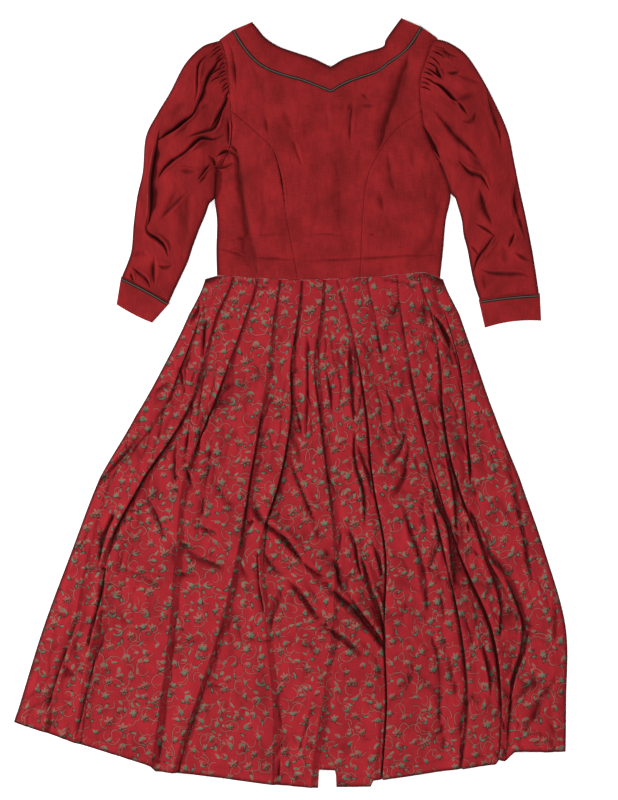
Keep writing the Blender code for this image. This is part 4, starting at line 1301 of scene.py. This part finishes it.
def printed_cloth():
    g = Graph("printed_cotton")
    place = cloth_uv(g)
    wander = g.vector("SUBTRACT", g.noise(place, .03, .03, 1, .5, output=1), (.5, .5, .5))
    drawn = g.vector("ADD", place, g.vector("MULTIPLY", wander, (14, 14, 0)))

    large, dark_side = motif_layer(g, drawn, MOTIFS)
    buds = bud_layer(g, drawn, BUDS).most(2.2 - large)
    motifs = large.least(buds)
    wide, beside_wide = vine_layer(g, drawn, WIDE_VINES)
    narrow, beside_narrow = vine_layer(g, drawn, NARROW_VINES)
    clear = 1.2 - large
    vines = wide.least(narrow).most(clear)
    beside = beside_wide.least(beside_narrow).most(clear)

    tone = g.step(weave(g, place), .3, .7)
    ground = g.colour(tone, shade(BRIGHT_RED, .76), shade(BRIGHT_RED, 1.22))
    ragged = g.noise(place, .9, .9, 2, .5) * 1.2 - .6
    motif_edge = motifs + ragged
    vine_ragged = ragged * .5
    patch = g.step(g.noise(place, .12, .12, 1, .5), .42, .6)
    lit = g.step(dark_side, 2.5, -2.5)
    outlined = g.step(motif_edge, g.mix(lit, 1.2, .8), .45) * g.mix(lit, .85, .4)
    printed = ground
    for share, ink in (
            (g.step(beside + vine_ragged, .8, .3) * .62, PRINT_DARK),
            (g.step(vines + vine_ragged, .6, .2) * .56, VINE_PINK),
            (outlined, g.colour(lit, PRINT_DARK, VINE_PINK)),
            (g.step(motif_edge, .02, -.33) * .9, g.colour(patch, PRINT_LIGHT, PRINT_GREEN))):
        printed = g.colour(share, printed, ink)
    return finish_cloth(g, place, printed, .35)


def piping_cloth():
    """Dark corded edges and a grey-green middle, from the UV across the bead."""
    g = Graph("green_piping")
    across, along, _ = g.parts(g.add("UVMap", {}, uv_map="cloth"))
    twisted = g.add("CombineXYZ", {0: across * .002 + along})
    cord = g.add("TexWave", {"Vector": twisted, "Scale": 260, "Distortion": .4}, output=1)
    core = g.colour(cord * .5, PIPING_CORE, shade(PIPING_CORE, .45))
    bump = g.add("Bump", {"Strength": .3, "Distance": .0004, "Height": cord})
    return g.finish(g.colour(g.step(abs(across), .08, .13), core, PIPING_DARK), bump,
                    Roughness=.6, Specular_IOR_Level=.1)


# Skirt

def lee_points(x, hidden, shut, layer, lee, height, crisp, slit):
    """Six points down a pleat's steep side: folded under itself, or open as a wave."""
    folded = ((-FOLD_ROUND, 2 * layer), (0, 1.5 * layer), (-FOLD_ROUND, layer),
              (FOLD_ROUND - hidden, layer), (-hidden, layer / 2), (SLIT / 2, SLIT_FLOOR * slit))
    wave = ((0, 1), (.16, .86), (.36, .50), (.56, .18), (.78, .03), (1, 0))
    edge = ((0, 1), (.07, .74), (.03, .24), (.06, -.30), (.20, -.42), (.40, .06))
    points = []
    for fold, soft, hard in zip(folded, wave, edge):
        across = x + lerp(lerp(soft[0], hard[0], crisp) * lee, fold[0], shut)
        points.append((across, lerp(lerp(soft[1], hard[1], crisp) * height, fold[1], shut)))
    return points


def skirt_half(side, pleats, slits, sign, row):
    """Half of one section of the skirt's front, from its side edge towards the middle."""
    def plan_y(values):
        return lerp(waist_y(values[0]), hem_y(values[-1]), row)

    edge = sign * at_level(side, plan_y(side))
    low = CLOTH / 2 - LIFT
    path = [(edge + SIDE_TUCK, low), (edge + EDGE_FLAT, low), (edge + EDGE_ROUND, low / 2),
            (edge + EDGE_FLAT, 0)]
    places = [sign * at_level(p.x, plan_y(p.x)) for p in pleats]
    foot = path[-1][0]
    shut_before = 0
    last_x = edge
    for k, pleat in enumerate(pleats):
        x = places[k]
        room = places[k + 1] - x if k + 1 < len(places) else 3 * pleat.lee
        drop = LEVELS[0] - plan_y(pleat.x)
        shut = smoothstep(pleat.opens, pleat.opens / 2, drop) if pleat.hidden else 0
        opened = min(1, drop / pleat.opens)
        hidden = lerp(pleat.hidden, LAST_HIDDEN, smoothstep(0, .55, opened))
        layer = LAYER * (1 + LOOSER * opened)
        crest = between((0, max(pleat.opens, OPEN_DROP), MID_DROP, HEM_DROP),
                        (2 * LAYER, OPEN_CREST, pleat.crest, pleat.hem), drop)
        if not pleat.hidden:
            crest = min(crest, FLAT_CREST + drop / FLAT_SLOPE)
        crest *= min(1, max(LEAST_CREST, min(room, x - last_x) / FULL_ROOM))
        slit = at_level(slits[k], plan_y(pleat.x))
        crest *= lerp(*SLIT_CRESTS, slit)
        lee = min(pleat.lee, LEE_SHARE * room)
        steep = lee_points(x, hidden, shut, layer, lee, crest, smoothstep(*CRISP_SLITS, slit), slit)
        top_x, top_z = steep[0]
        start = lerp(lerp(foot, top_x, RISE_FROM), last_x + 1.6 * SLIT, shut_before)
        end = lerp(lerp(foot, top_x, RISE_TO), x - hidden - 3, shut)
        foot_z, middle_z, end_z = RISE_HEIGHTS
        path.append((start, foot_z * (1 - shut) * (1 - shut_before) * top_z))
        path.append(((start + end) / 2, lerp(middle_z * (1 - shut), FOLDED_MIDDLE, shut) * top_z))
        path.append((end, lerp(end_z, 1, shut) * top_z))
        path.extend(steep)
        foot, shut_before, last_x = steep[-1][0], shut, x
    return path


def skirt_section(row):
    left = skirt_half(LEFT_SIDE, LEFT_PLEATS, LEFT_SLITS, 1, row)
    right = skirt_half(RIGHT_SIDE, RIGHT_PLEATS, RIGHT_SLITS, -1, row)
    right = [(-x, z) for x, z in reversed(right)]
    first, last = left[-1][0], right[0][0]
    middle = []
    for k, hem_share in enumerate(CENTRE_HEM_SHARES):
        even = (k + 1) / (len(CENTRE_HEM_SHARES) + 1)
        x = lerp(first, last, lerp(even, hem_share, smoothstep(.3, 1, row)))
        middle.append((x, CENTRE_CREST * sqrt(row) * (1 - abs(2 * even - 1))))
    return smooth_path(left + middle + right, SKIRT_STEPS)


def skirt_steps():
    """Steps between the points of a section: few where the cloth turns under, more between."""
    pleat = [PANEL_STEPS] * RISE_POINTS + [LEE_STEPS] * LEE_POINTS
    left = [LEE_STEPS] * (TUCK_POINTS - 1) + pleat * len(LEFT_PLEATS)
    right = [LEE_STEPS] * (TUCK_POINTS - 1) + pleat * len(RIGHT_PLEATS)
    return left + [PANEL_STEPS] * (len(CENTRE_HEM_SHARES) + 1) + right[::-1]


SKIRT_STEPS = skirt_steps()


def skirt_frames(x, y, along_row):
    """Place on the cloth for each column of faces: at its near side and at its far side.

    Each pleat's panel has the print square to its own fold, so the print jumps at the foot of
    the pleat before, where the cloth comes out from under it.
    """
    at = np.concatenate(([0], np.cumsum(SKIRT_STEPS)))
    last = len(SKIRT_STEPS)
    panels = []
    for pleats, mirrored in ((LEFT_PLEATS, False), (RIGHT_PLEATS, True)):
        for k in range(len(pleats)):
            start = TUCK_POINTS + (RISE_POINTS + LEE_POINTS) * k
            panel = (start - 1 if k else 0, start + RISE_POINTS + LEE_POINTS - 1, start + RISE_POINTS)
            if mirrored:
                panel = (last - panel[1], last - panel[0], last - panel[2])
            panels.append(panel)
    middle = (panels[len(LEFT_PLEATS) - 1][1], panels[-1][0])
    panels.append((*middle, sum(middle) // 2))
    near = np.zeros((*x.shape, 2))
    far = np.zeros((*x.shape, 2))
    for number, (first, end, edge) in enumerate(sorted(panels)):
        first, end, edge = at[first], at[end], at[edge]
        fold_x, fold_y = x[:, edge], y[:, edge]
        run = lengths(np.column_stack((fold_x, fold_y)))[:, None]
        lean = np.pad(np.arctan2(np.gradient(fold_x), -np.gradient(fold_y)), LEAN_ROWS, mode="edge")
        span = 2 * LEAN_ROWS + 1
        lean = np.convolve(lean, np.ones(span) / span, mode="valid")[:, None]
        away = along_row[:, first:end + 1] - along_row[:, edge:edge + 1]
        above = y[:, first:end + 1] - fold_y[:, None]
        u = away * np.cos(lean) + above * np.sin(lean) + PANEL_STEP * number
        v = -run - away * np.sin(lean) + above * np.cos(lean)
        place = np.stack((u, v), axis=2)
        near[:, first:end] = place[:, :-1]
        far[:, first:end] = place[:, 1:]
    return near, far


def broad_creases(x, y):
    """Height that the broad creases add to the skirt at points of its plan, given as arrays."""
    total = np.zeros_like(x)
    for crease in SKIRT_CREASES:
        dx, dy = crease.x1 - crease.x0, crease.y1 - crease.y0
        length = hypot(dx, dy)
        along = ((x - crease.x0) * dx + (y - crease.y0) * dy) / length ** 2
        across = ((y - crease.y0) * dx - (x - crease.x0) * dy) / length
        across = across - crease.bow * 4 * along * (1 - along)
        fade = smoothstep(-0.15, 0.2, along) * smoothstep(1.15, 0.8, along)
        total += crease.height * fade * np.exp(-(across / crease.width) ** 2)
    return total


def creased_skirt(x, y, z, to_hem):
    """The skirt's heights with all its creases, and the depth that sets each point's painted shade."""
    share = SKIRT_SHARES[:, None]
    tuck = (TUCK_POINTS - 1) * LEE_STEPS
    on_top = np.zeros(x.shape[1])
    on_top[tuck:-tuck] = 1
    on_top[tuck:tuck + EDGE_COLUMNS] = np.linspace(0, 1, EDGE_COLUMNS)
    on_top[-tuck - EDGE_COLUMNS:-tuck] = np.linspace(1, 0, EDGE_COLUMNS)
    folds = fold_heights(x, y, SKIRT_FOLDS, finest=SKIRT_FINEST) * worn(x, y)
    raised = broad_creases(x, y) + SKIRT_FOLD_GAIN * folds
    raised += waves(x, y, SKIRT_WAVES) * smoothstep(0, .25, share)
    fan = x / lerp(1, SKIRT_FAN, share)
    lines = pressed_lines(fan, y) * smoothstep(.02, .15, share)
    raised -= PRESSED_DEPTH * lines
    raised -= STITCH_DEPTH * np.exp(-((to_hem - HEM_STITCH) / STITCH_WIDTH) ** 2)
    # Painted shade: a dark band along the side edges and the hem, and along each pressed line
    to_side = np.minimum(x - x.min(axis=1, keepdims=True), x.max(axis=1, keepdims=True) - x)
    rim = np.exp(-(np.minimum(to_side, to_hem) / EDGE_BAND) ** 2)
    painted_shade_depth = np.maximum(-raised * np.sign(on_top), EDGE_SHADE * rim) + PRESSED_SHADE * lines
    below_seam = smoothstep(0, .02, share)
    raised += SKIRT_LIFT * below_seam
    lowest = LOWEST * below_seam
    return np.where(on_top > 0, np.maximum(z + raised * on_top, lowest), z) + LIFT, painted_shade_depth


def make_skirt(cloth):
    sections = np.array([skirt_section(row) for row in SKIRT_SHARES])
    x, z = sections[:, :, 0], sections[:, :, 1]
    top_y = waist_y(x[0])
    low_y, notched = hem_y(x[-1]), notched_hem_y(x[-1])
    share = SKIRT_SHARES[:, None]
    y = lerp(top_y, low_y, share) + (notched - low_y) * smoothstep(.93, 1, share)
    steps = np.hypot(np.diff(x, axis=1), np.diff(z, axis=1))
    along_row = np.concatenate((np.zeros((len(x), 1)), np.cumsum(steps, axis=1)), axis=1)
    near, far = skirt_frames(x, y, along_row)
    z, painted_shade_depth = creased_skirt(x, y, z, (1 - share) * (top_y - low_y))

    # The hem is turned up inside
    turned = []
    for back, drop in ((HEM_EDGE, .9), (HEM_TURN, 1.3)):
        row = np.searchsorted(SKIRT_SHARES, 1 - back / (top_y - low_y).mean())
        under = np.minimum(z[-1] - drop, z[row:].min(axis=0) - .9)
        turned.append(np.stack((x[row], y[-1] + back, np.maximum(under, .7)), axis=1))
    points = np.concatenate((np.stack((x, y, z), axis=2), np.array(turned)))
    painted_shade_depth = np.concatenate((painted_shade_depth, painted_shade_depth[-1:], painted_shade_depth[-1:]))
    uvs = []
    for place in (near, far):
        more = [place[-1:] - (0, back) for back in (HEM_EDGE, HEM_TURN)]
        uvs.append(np.concatenate([place] + more) * MM)
    mesh = grid_mesh("skirt_front_cloth", points, uvs[0], far_uv=uvs[1], painted_shade_depth=painted_shade_depth)
    front = make_piece("skirt_front_cloth", mesh, "skirt_front", cloth)

    levels = np.linspace(LEVELS[-1], LEVELS[0], 60)
    lines = [([at_level(pleat.x, v) for v in levels], toward)
             for pleats, toward in ((LEFT_PLEATS, 1), (RIGHT_PLEATS, -1)) for pleat in pleats[1:]]

    def back_height(px, py):
        """Shallow grooves of the pressed pleats in the underside, painted darker as shade."""
        grooves = np.zeros_like(px)
        for line, toward in lines:
            away = (px - np.interp(py, levels, line)) * toward
            width = np.where(away > 0, *GROOVE_WIDTHS)
            grooves = np.maximum(grooves, GROOVE * np.exp(-(away / width) ** 2))
        return BACK_CLOTH / 2 + grooves, GROOVE_SHADE * grooves

    inset = SEAM_GAP + BACK_INSET
    kept = [*range(0, len(x) - BACK_ROWS, BACK_ROWS), -1]
    left = [(a + inset, b) for a, b in zip(x[kept, 0], y[kept, 0])]
    right = [(a - inset, b) for a, b in zip(x[kept, -1], y[kept, -1])]
    top = line_between(WAIST, left[0][0], right[0][0])
    hem = line_between(sorted(HEM + NOTCH), left[-1][0], right[-1][0])
    outline = top[::-1] + left[1:-1] + hem + right[1:-1][::-1]
    mesh = plate_mesh("skirt_back_cloth", outline, back_height, BACK_GRID)
    back = make_piece("skirt_back_cloth", mesh, "skirt_back", cloth, SHELL)


# Bodice

def bodice_height(x, y):
    """Middle of the front's cloth: a low swell over the bust, lifted at the waist seam."""
    total = np.zeros_like(x)
    for cx, cy, radius, height in BODICE_SWELL:
        total += height * np.exp(-((x - cx) ** 2 + (y - cy) ** 2) / radius ** 2)
    edge = np.minimum(smoothstep(*SWELL_LEFT, x), smoothstep(*SWELL_RIGHT, x))
    above_waist = y - waist_y(x)
    rise = WAIST_RISE * smoothstep(WAIST_FADE, 0, above_waist)
    plump = BODICE_LIFT * (1 - line_heights(x, y, 1, NECK_FLAT, (NECK_EDGE,)))
    return LIFT + (total + plump) * edge * smoothstep(0, 60, above_waist) + rise


def gathers(rows, outward):
    """The short folds of a sleeve's head, each bowed up a little, crisp on its outer side."""
    widths = GATHER_WIDTHS[::-outward]
    bow_x, bow_y = GATHER_BOW
    folds = []
    for start_px, start_py, end_px, end_py in rows:
        start_x, start_y = in_scene(start_px, start_py)
        end_x, end_y = in_scene(end_px, end_py)
        middle = ((start_x + end_x) / 2 + outward * bow_x, (start_y + end_y) / 2 + bow_y)
        folds.append(Fold(-GATHER_DEPTH, *widths, ((start_x, start_y), middle, (end_x, end_y))))
    return tuple(folds)


def line_heights(x, y, height, width, lines):
    """A ridge (or trough, below 0) of one height and width along each line."""
    return fold_heights(x, y, [Fold(height, width, width, line) for line in lines], 1)


def seam_dips(x, y):
    """How far the cloth dips along the seams."""
    folds = [Fold(-depth, SEAM_WIDTH, SEAM_WIDTH, line) for line, depth in SEAMS]
    return fold_heights(x, y, folds, SEAM_TAPER)


def front_height(x, y):
    folds = fold_heights(x, y, BODICE_FOLDS + UNDERARM_FOLDS) * worn(x, y)
    over = waves(x, y, BODICE_WAVES) + seam_dips(x, y) + folds
    # Painted shade: a dark band along the side edges, and more the deeper a fold
    sides = line_heights(x, y, 1, EDGE_BAND, (SIDE_LEFT, SIDE_RIGHT))
    return (np.maximum(bodice_height(x, y) + over, LIFT + LOWEST),
            np.maximum(-over, EDGE_SHADE * sides))


def back_height(x, y):
    """Flat on the floor, with shallow grooves where two darts are sewn, painted darker as shade."""
    grooves = fold_heights(x, y, [Fold(DART, DART_WIDTH, DART_WIDTH, line)
                                  for line in (PRINCESS_LEFT, PRINCESS_RIGHT)], SEAM_TAPER)
    return BACK_CLOTH / 2 + grooves, GROOVE_SHADE * grooves


def band_height(x, y):
    """The neck band dips at its seam and rolls down at its edge; its dips and a band along the edge
    get painted shade.
    """
    rolled = line_heights(x, y, -BAND_ROLL, BAND_ROLL_WIDTH, (NECK_EDGE,))
    dips = seam_dips(x, y) + rolled + waves(x, y, BAND_WAVES)
    rim = line_heights(x, y, EDGE_SHADE, EDGE_BAND, (NECK_EDGE,))
    return bodice_height(x, y) + dips, np.maximum(rim, -BAND_SHADE * dips)


def panel_outline(left, top, right):
    """A panel over the waist, bounded by a left and a right line, both run down, and a top line.

    Without a top line its sides meet in a point.
    """
    left = shifted(left, SEAM_GAP / 2)
    right = shifted(right, -SEAM_GAP / 2)
    if not len(top):
        tip = intersect_line_line_2d(*[Vector(p) for p in (*left[:2], *right[:2])])
        if tip:
            left[0] = tuple(tip)
        right = right[1:]
    low = [(x, y + SEAM_GAP) for x, y in line_between(WAIST, left[-1][0], right[-1][0])]
    parts = [left[:-1], low, right[:-1][::-1]]
    if len(top):
        parts.append(top[::-1])
    return np.vstack(parts)


def neckline(line):
    """A neckline smoothed on each side of its lowest point."""
    tip = line.index(min(line, key=lambda p: p[1]))
    first = smooth_path(line[:tip + 1], NECK_STEPS)
    return np.vstack((first[:-1], smooth_path(line[tip:], NECK_STEPS)))


def joined(*lines):
    """One smooth-cornered run of several lines that each start where the last ends."""
    paths = [smooth_path(line, PATH_STEPS) for line in lines]
    return np.vstack([paths[0]] + [path[1:] for path in paths[1:]])


def make_bodice(cloth, piping):
    neck_edge = neckline(NECK_EDGE)
    neck_seam = neckline(NECK_SEAM)
    panels = (
        ("bodice_front", (.35, .40), joined(ARM_UPPER_LEFT, PRINCESS_LEFT),
         shifted(neck_seam, -SEAM_GAP / 2), joined(ARM_UPPER_RIGHT, PRINCESS_RIGHT)),
        ("bodice_side_left", (.14, .27), joined(ARM_LOWER_LEFT, SIDE_LEFT), (),
         joined(PRINCESS_LEFT)),
        ("bodice_side_right", (.15, .27), joined(PRINCESS_RIGHT), (),
         joined(ARM_LOWER_RIGHT, SIDE_RIGHT)),
    )
    for name, size, left, top, right in panels:
        mesh = plate_mesh(name + "_cloth", panel_outline(left, top, right), front_height, FRONT_GRID)
        made = make_piece(name + "_cloth", mesh, name, cloth, SHELL)

    outline = panel_outline(joined(ARM_UPPER_LEFT, ARM_LOWER_LEFT, SIDE_LEFT),
                            neck_edge - (0, NECK_DROP),
                            joined(ARM_UPPER_RIGHT, ARM_LOWER_RIGHT, SIDE_RIGHT))
    mesh = plate_mesh("bodice_back_cloth", outline, back_height, BODICE_BACK_GRID)
    made = make_piece("bodice_back_cloth", mesh, "bodice_back", cloth, SHELL)

    band = np.vstack((neck_edge, shifted(neck_seam, SEAM_GAP / 2)[::-1]))
    mesh = plate_mesh("neck_band_cloth", band, band_height, FRONT_GRID)
    made = make_piece("neck_band_cloth", mesh, "neck_band", cloth, BAND_SHELL)

    spots = at_shares(neck_seam, np.linspace(0, 1, NECK_PIPING_POINTS))
    base = bodice_height(spots[:, 0], spots[:, 1]) + PIPING_LIFT
    make_piping("neck_piping", np.column_stack((spots, base)), piping)


# Sleeves and cuffs

def close_to_side(table, side_line, opens):
    """Moves the sleeve's inner edge to the bodice's side, down to where the gap opens."""
    line = np.array(sorted(side_line, key=lambda p: p[1]))
    inner = table[:, 3]
    side_x = np.interp(inner, line[:, 1], line[:, 0])
    away = 1.0 if side_line[0][0] > table[0, 0] else -1.0
    share = smoothstep(opens - 12, opens, inner) * (inner < line[-1, 1])
    table[:, 2] = np.where(share > 0, lerp(table[:, 2], side_x - away, share), table[:, 2])


def make_sleeve(side, sections, armhole, side_line, opens, folds, cloth):
    """A flattened tube: flat on the floor below, rounded, creased and gathered above."""
    table = smooth_path(np.array(sections), SLEEVE_RINGS // (len(sections) - 1))
    close_to_side(table, side_line, opens)
    shares = np.linspace(0, 1, SLEEVE_ACROSS)
    under = np.linspace(1, 0, SLEEVE_UNDER)
    rim = at_shares(armhole, shares)
    straight = lerp(rim[0], rim[-1], shares[:, None])
    round_off = np.sqrt(np.clip(1 - np.abs(2 * shares - 1) ** SLEEVE_ROUND, 0, 1))
    top_rows, low_rows, uv_rows, edges = [], [], [], []
    down = 0
    before = None
    for outer_x, outer_y, inner_x, inner_y, height, bow in table:
        ends = np.array(((outer_x, outer_y), (inner_x, inner_y)))
        plan = lerp(ends[0], ends[1], shares[:, None])
        plan = plan + (max(bow, 0) ** (1 + 3 * shares))[:, None] * (rim - straight)
        widths = lengths(plan)
        spots = np.clip(widths, EDGE_INSET, widths[-1] - EDGE_INSET)
        plan = at_shares(plan, spots / widths[-1])
        edges.append(np.minimum(spots, widths[-1] - spots))
        z = CLOTH / 2 + SLEEVE_EDGE + (height - CLOTH - SLEEVE_EDGE) * round_off
        top_rows.append(np.column_stack((plan, z)))
        low = at_shares(plan, under)
        low_rows.append(np.column_stack((low, np.full(len(low), CLOTH / 2))))
        middle = ends.mean(axis=0)
        if before is not None:
            down += hypot(*(middle - before))
        before = middle
        u = np.concatenate((widths, 2 * widths[-1] - widths[-1] * under, [2 * widths[-1] + 2]))
        uv_rows.append(np.column_stack((u, np.full(len(u), down))))
    top, low = np.array(top_rows), np.array(low_rows)
    x, y, z = (top[:, :, k] for k in range(3))
    raised = fold_heights(x, y, folds) * worn(x, y) + waves(x, y, SLEEVE_WAVES)
    # Painted shade: a dark band along the sleeve's edges, and more the deeper a fold; none underneath
    rim = EDGE_SHADE * np.exp(-((np.array(edges) - EDGE_INSET) / EDGE_BAND) ** 2)
    painted_shade_depth = np.concatenate((np.maximum(-raised, rim), np.full(low.shape[:2], -1)), axis=1)
    z = np.maximum(z + raised * np.sqrt(round_off), CLOTH / 2 + SLEEVE_LEAST)
    tucked = smoothstep(.985, 1, np.linspace(0, 1, len(z)))[:, None]
    z = lerp(z, np.minimum(z, CLOTH / 2 + SLEEVE_TUCKED), tucked)
    points = np.concatenate((np.stack((x, y, z), axis=2), low), axis=1)
    name = "sleeve_" + side + "_cloth"
    mesh = grid_mesh(name, points, np.array(uv_rows) * MM, closed=True, painted_shade_depth=painted_shade_depth)
    made = make_piece(name, mesh, "sleeve_" + side, cloth)


def cuff_lift(share):
    """How far the cuff's upper layer swells, from edge (share 0) to edge (share 1)."""
    return CUFF_SWELL * np.sqrt(np.clip(1 - np.abs(2 * share - 1) ** 4, 0, 1))


def bowed(start, end, shares, bow):
    """Points from start to end, bowed up by bow in the middle."""
    plan = lerp(start, end, shares[:, None])
    plan[:, 1] += 4 * shares * (1 - shares) * bow
    return plan


def make_cuff(side, sleeve_end, cuff, outward, cloth, piping):
    """A flattened band whose upper edge laps over the end of its sleeve, and its piping."""
    top = shifted(((sleeve_end.outer_x, sleeve_end.outer_y),
                   (sleeve_end.inner_x, sleeve_end.inner_y)), -outward * OVERLAP)
    bottom = np.array(((cuff.outer_x, cuff.outer_y), (cuff.inner_x, cuff.inner_y)))
    outer_length = hypot(*(bottom[0] - top[0]))
    shares = np.linspace(0, 1, CUFF_ACROSS)
    rows, uv_rows = [], []
    for down in np.linspace(0, 1, CUFF_DOWN):
        start, end = lerp(top, bottom, down)
        across = hypot(*(end - start))
        depth = down * outer_length
        plan = bowed(start, end, shares, lerp(CUFF_TOP_BOW, cuff.bow, down))
        pressed = .5 * np.exp(-((depth - 2) / 2) ** 2) + .5 * smoothstep(.93, 1, down)
        z = CUFF_CLOTH + CUFF_EDGE + cuff_lift(shares) - pressed - .3
        z = z + waves(plan[:, 0], plan[:, 1], CUFF_WAVES)
        low = np.column_stack((plan[::-1], np.full(len(plan), CUFF_LOW)))
        rows.append(np.vstack((np.column_stack((plan, z)), low)))
        u = np.concatenate((shares * across, (1 + shares) * across, [2 * across + 2]))
        uv_rows.append(np.column_stack((u, np.full(len(u), depth))))
    name = "cuff_" + side + "_cloth"
    painted_shade_depth = np.repeat((0, -1), len(shares))
    mesh = grid_mesh(name, np.array(rows), np.array(uv_rows) * MM, closed=True, painted_shade_depth=painted_shade_depth)
    made = make_piece(name, mesh, "cuff_" + side, cloth, SHELL)

    start, end = lerp(top, bottom, CUFF_PIPING_INSET / outer_length)
    spots = np.linspace(*CUFF_PIPING_ENDS, CUFF_PIPING_POINTS)
    z = CUFF_CLOTH + CUFF_EDGE + cuff_lift(spots) + .1
    plan = bowed(start, end, spots, CUFF_TOP_BOW)
    make_piping("cuff_piping_" + side, np.column_stack((plan, z)), piping)


def make_sleeves(cloth, piping):
    for side, outward, sections, upper, lower, side_line, opens, cuff, folds in (
            ("left", -1, LEFT_SLEEVE, ARM_UPPER_LEFT, ARM_LOWER_LEFT, SIDE_LEFT, LEFT_OPENS,
             LEFT_CUFF, LEFT_SLEEVE_FOLDS + gathers(LEFT_GATHERS_READ, -1) + UNDERARM_FOLDS),
            ("right", 1, RIGHT_SLEEVE, ARM_UPPER_RIGHT, ARM_LOWER_RIGHT, SIDE_RIGHT, RIGHT_OPENS,
             RIGHT_CUFF, RIGHT_SLEEVE_FOLDS + gathers(RIGHT_GATHERS_READ, 1))):
        armhole = shifted(joined(upper, lower), outward * (SEAM_GAP / 2 - OVERLAP))
        make_sleeve(side, sections, armhole, side_line, opens, folds, cloth)
        make_cuff(side, sections[-1], cuff, outward, cloth, piping)


# Stage, light and camera

def make_stage():
    floor = bpy.data.meshes.new("floor")
    corners = [(x, y, FLOOR_Z) for x, y in ((-1, -1), (1, -1), (1, 1), (-1, 1))]
    floor.from_pydata([(x * FLOOR_REACH, y * FLOOR_REACH, z) for x, y, z in corners], [],
                      [(0, 1, 2, 3)])
    made = bpy.data.objects.new("floor", floor)
    bpy.context.scene.collection.objects.link(made)
    g = Graph("floor_paper")
    grain = g.noise(g.add("TexCoord", {}, output="Object"), 6, 6, 2, .5)
    floor.materials.append(g.finish(g.colour(grain, FLOOR_WHITE, shade(FLOOR_WHITE, .99)), None,
                                    Roughness=.9, Emission_Color=(1, 1, 1, 1),
                                    Emission_Strength=.4))


def add_light(name, place, target, size, power):
    light = bpy.data.lights.new(name, "AREA")
    light.size = size
    light.energy = power
    made = bpy.data.objects.new(name, light)
    made.location = place
    made.rotation_euler = (Vector(target) - Vector(place)).to_track_quat("-Z", "Y").to_euler()
    bpy.context.scene.collection.objects.link(made)


def make_lights():
    """A soft light above, a low key light from the left and a weaker one from the right."""
    add_light("above", (.03, -1.2, 4.4), (.03, 0, 0), 1.2, 92)
    add_light("key", (-3.4, .2, 2.0), (0, 0, 0), .6, 150)
    add_light("side", (3.2, .2, 2.0), (0, 0, 0), .6, 48)
    world = bpy.data.worlds.new("studio")
    world.use_nodes = True
    backdrop = world.node_tree.nodes["Background"]
    backdrop.inputs["Color"].default_value = (1, 1, 1, 1)
    backdrop.inputs["Strength"].default_value = .22
    bpy.context.scene.world = world
    bpy.context.scene.view_settings.view_transform = "Standard"


def make_camera():
    """Straight above the middle of the photograph's frame, far enough to see its height."""
    data = bpy.data.cameras.new("camera")
    data.lens = LENS
    data.sensor_width = SENSOR
    made = bpy.data.objects.new("camera", data)
    made.location = (*FRAME_MIDDLE, FRAME_HEIGHT * LENS / SENSOR)
    bpy.context.scene.collection.objects.link(made)
    bpy.context.scene.camera = made


def main():
    red = plain_cloth()
    printed = printed_cloth()
    piping = piping_cloth()
    make_skirt(printed)
    make_bodice(red, piping)
    make_sleeves(red, piping)
    make_stage()
    make_lights()
    make_camera()


main()
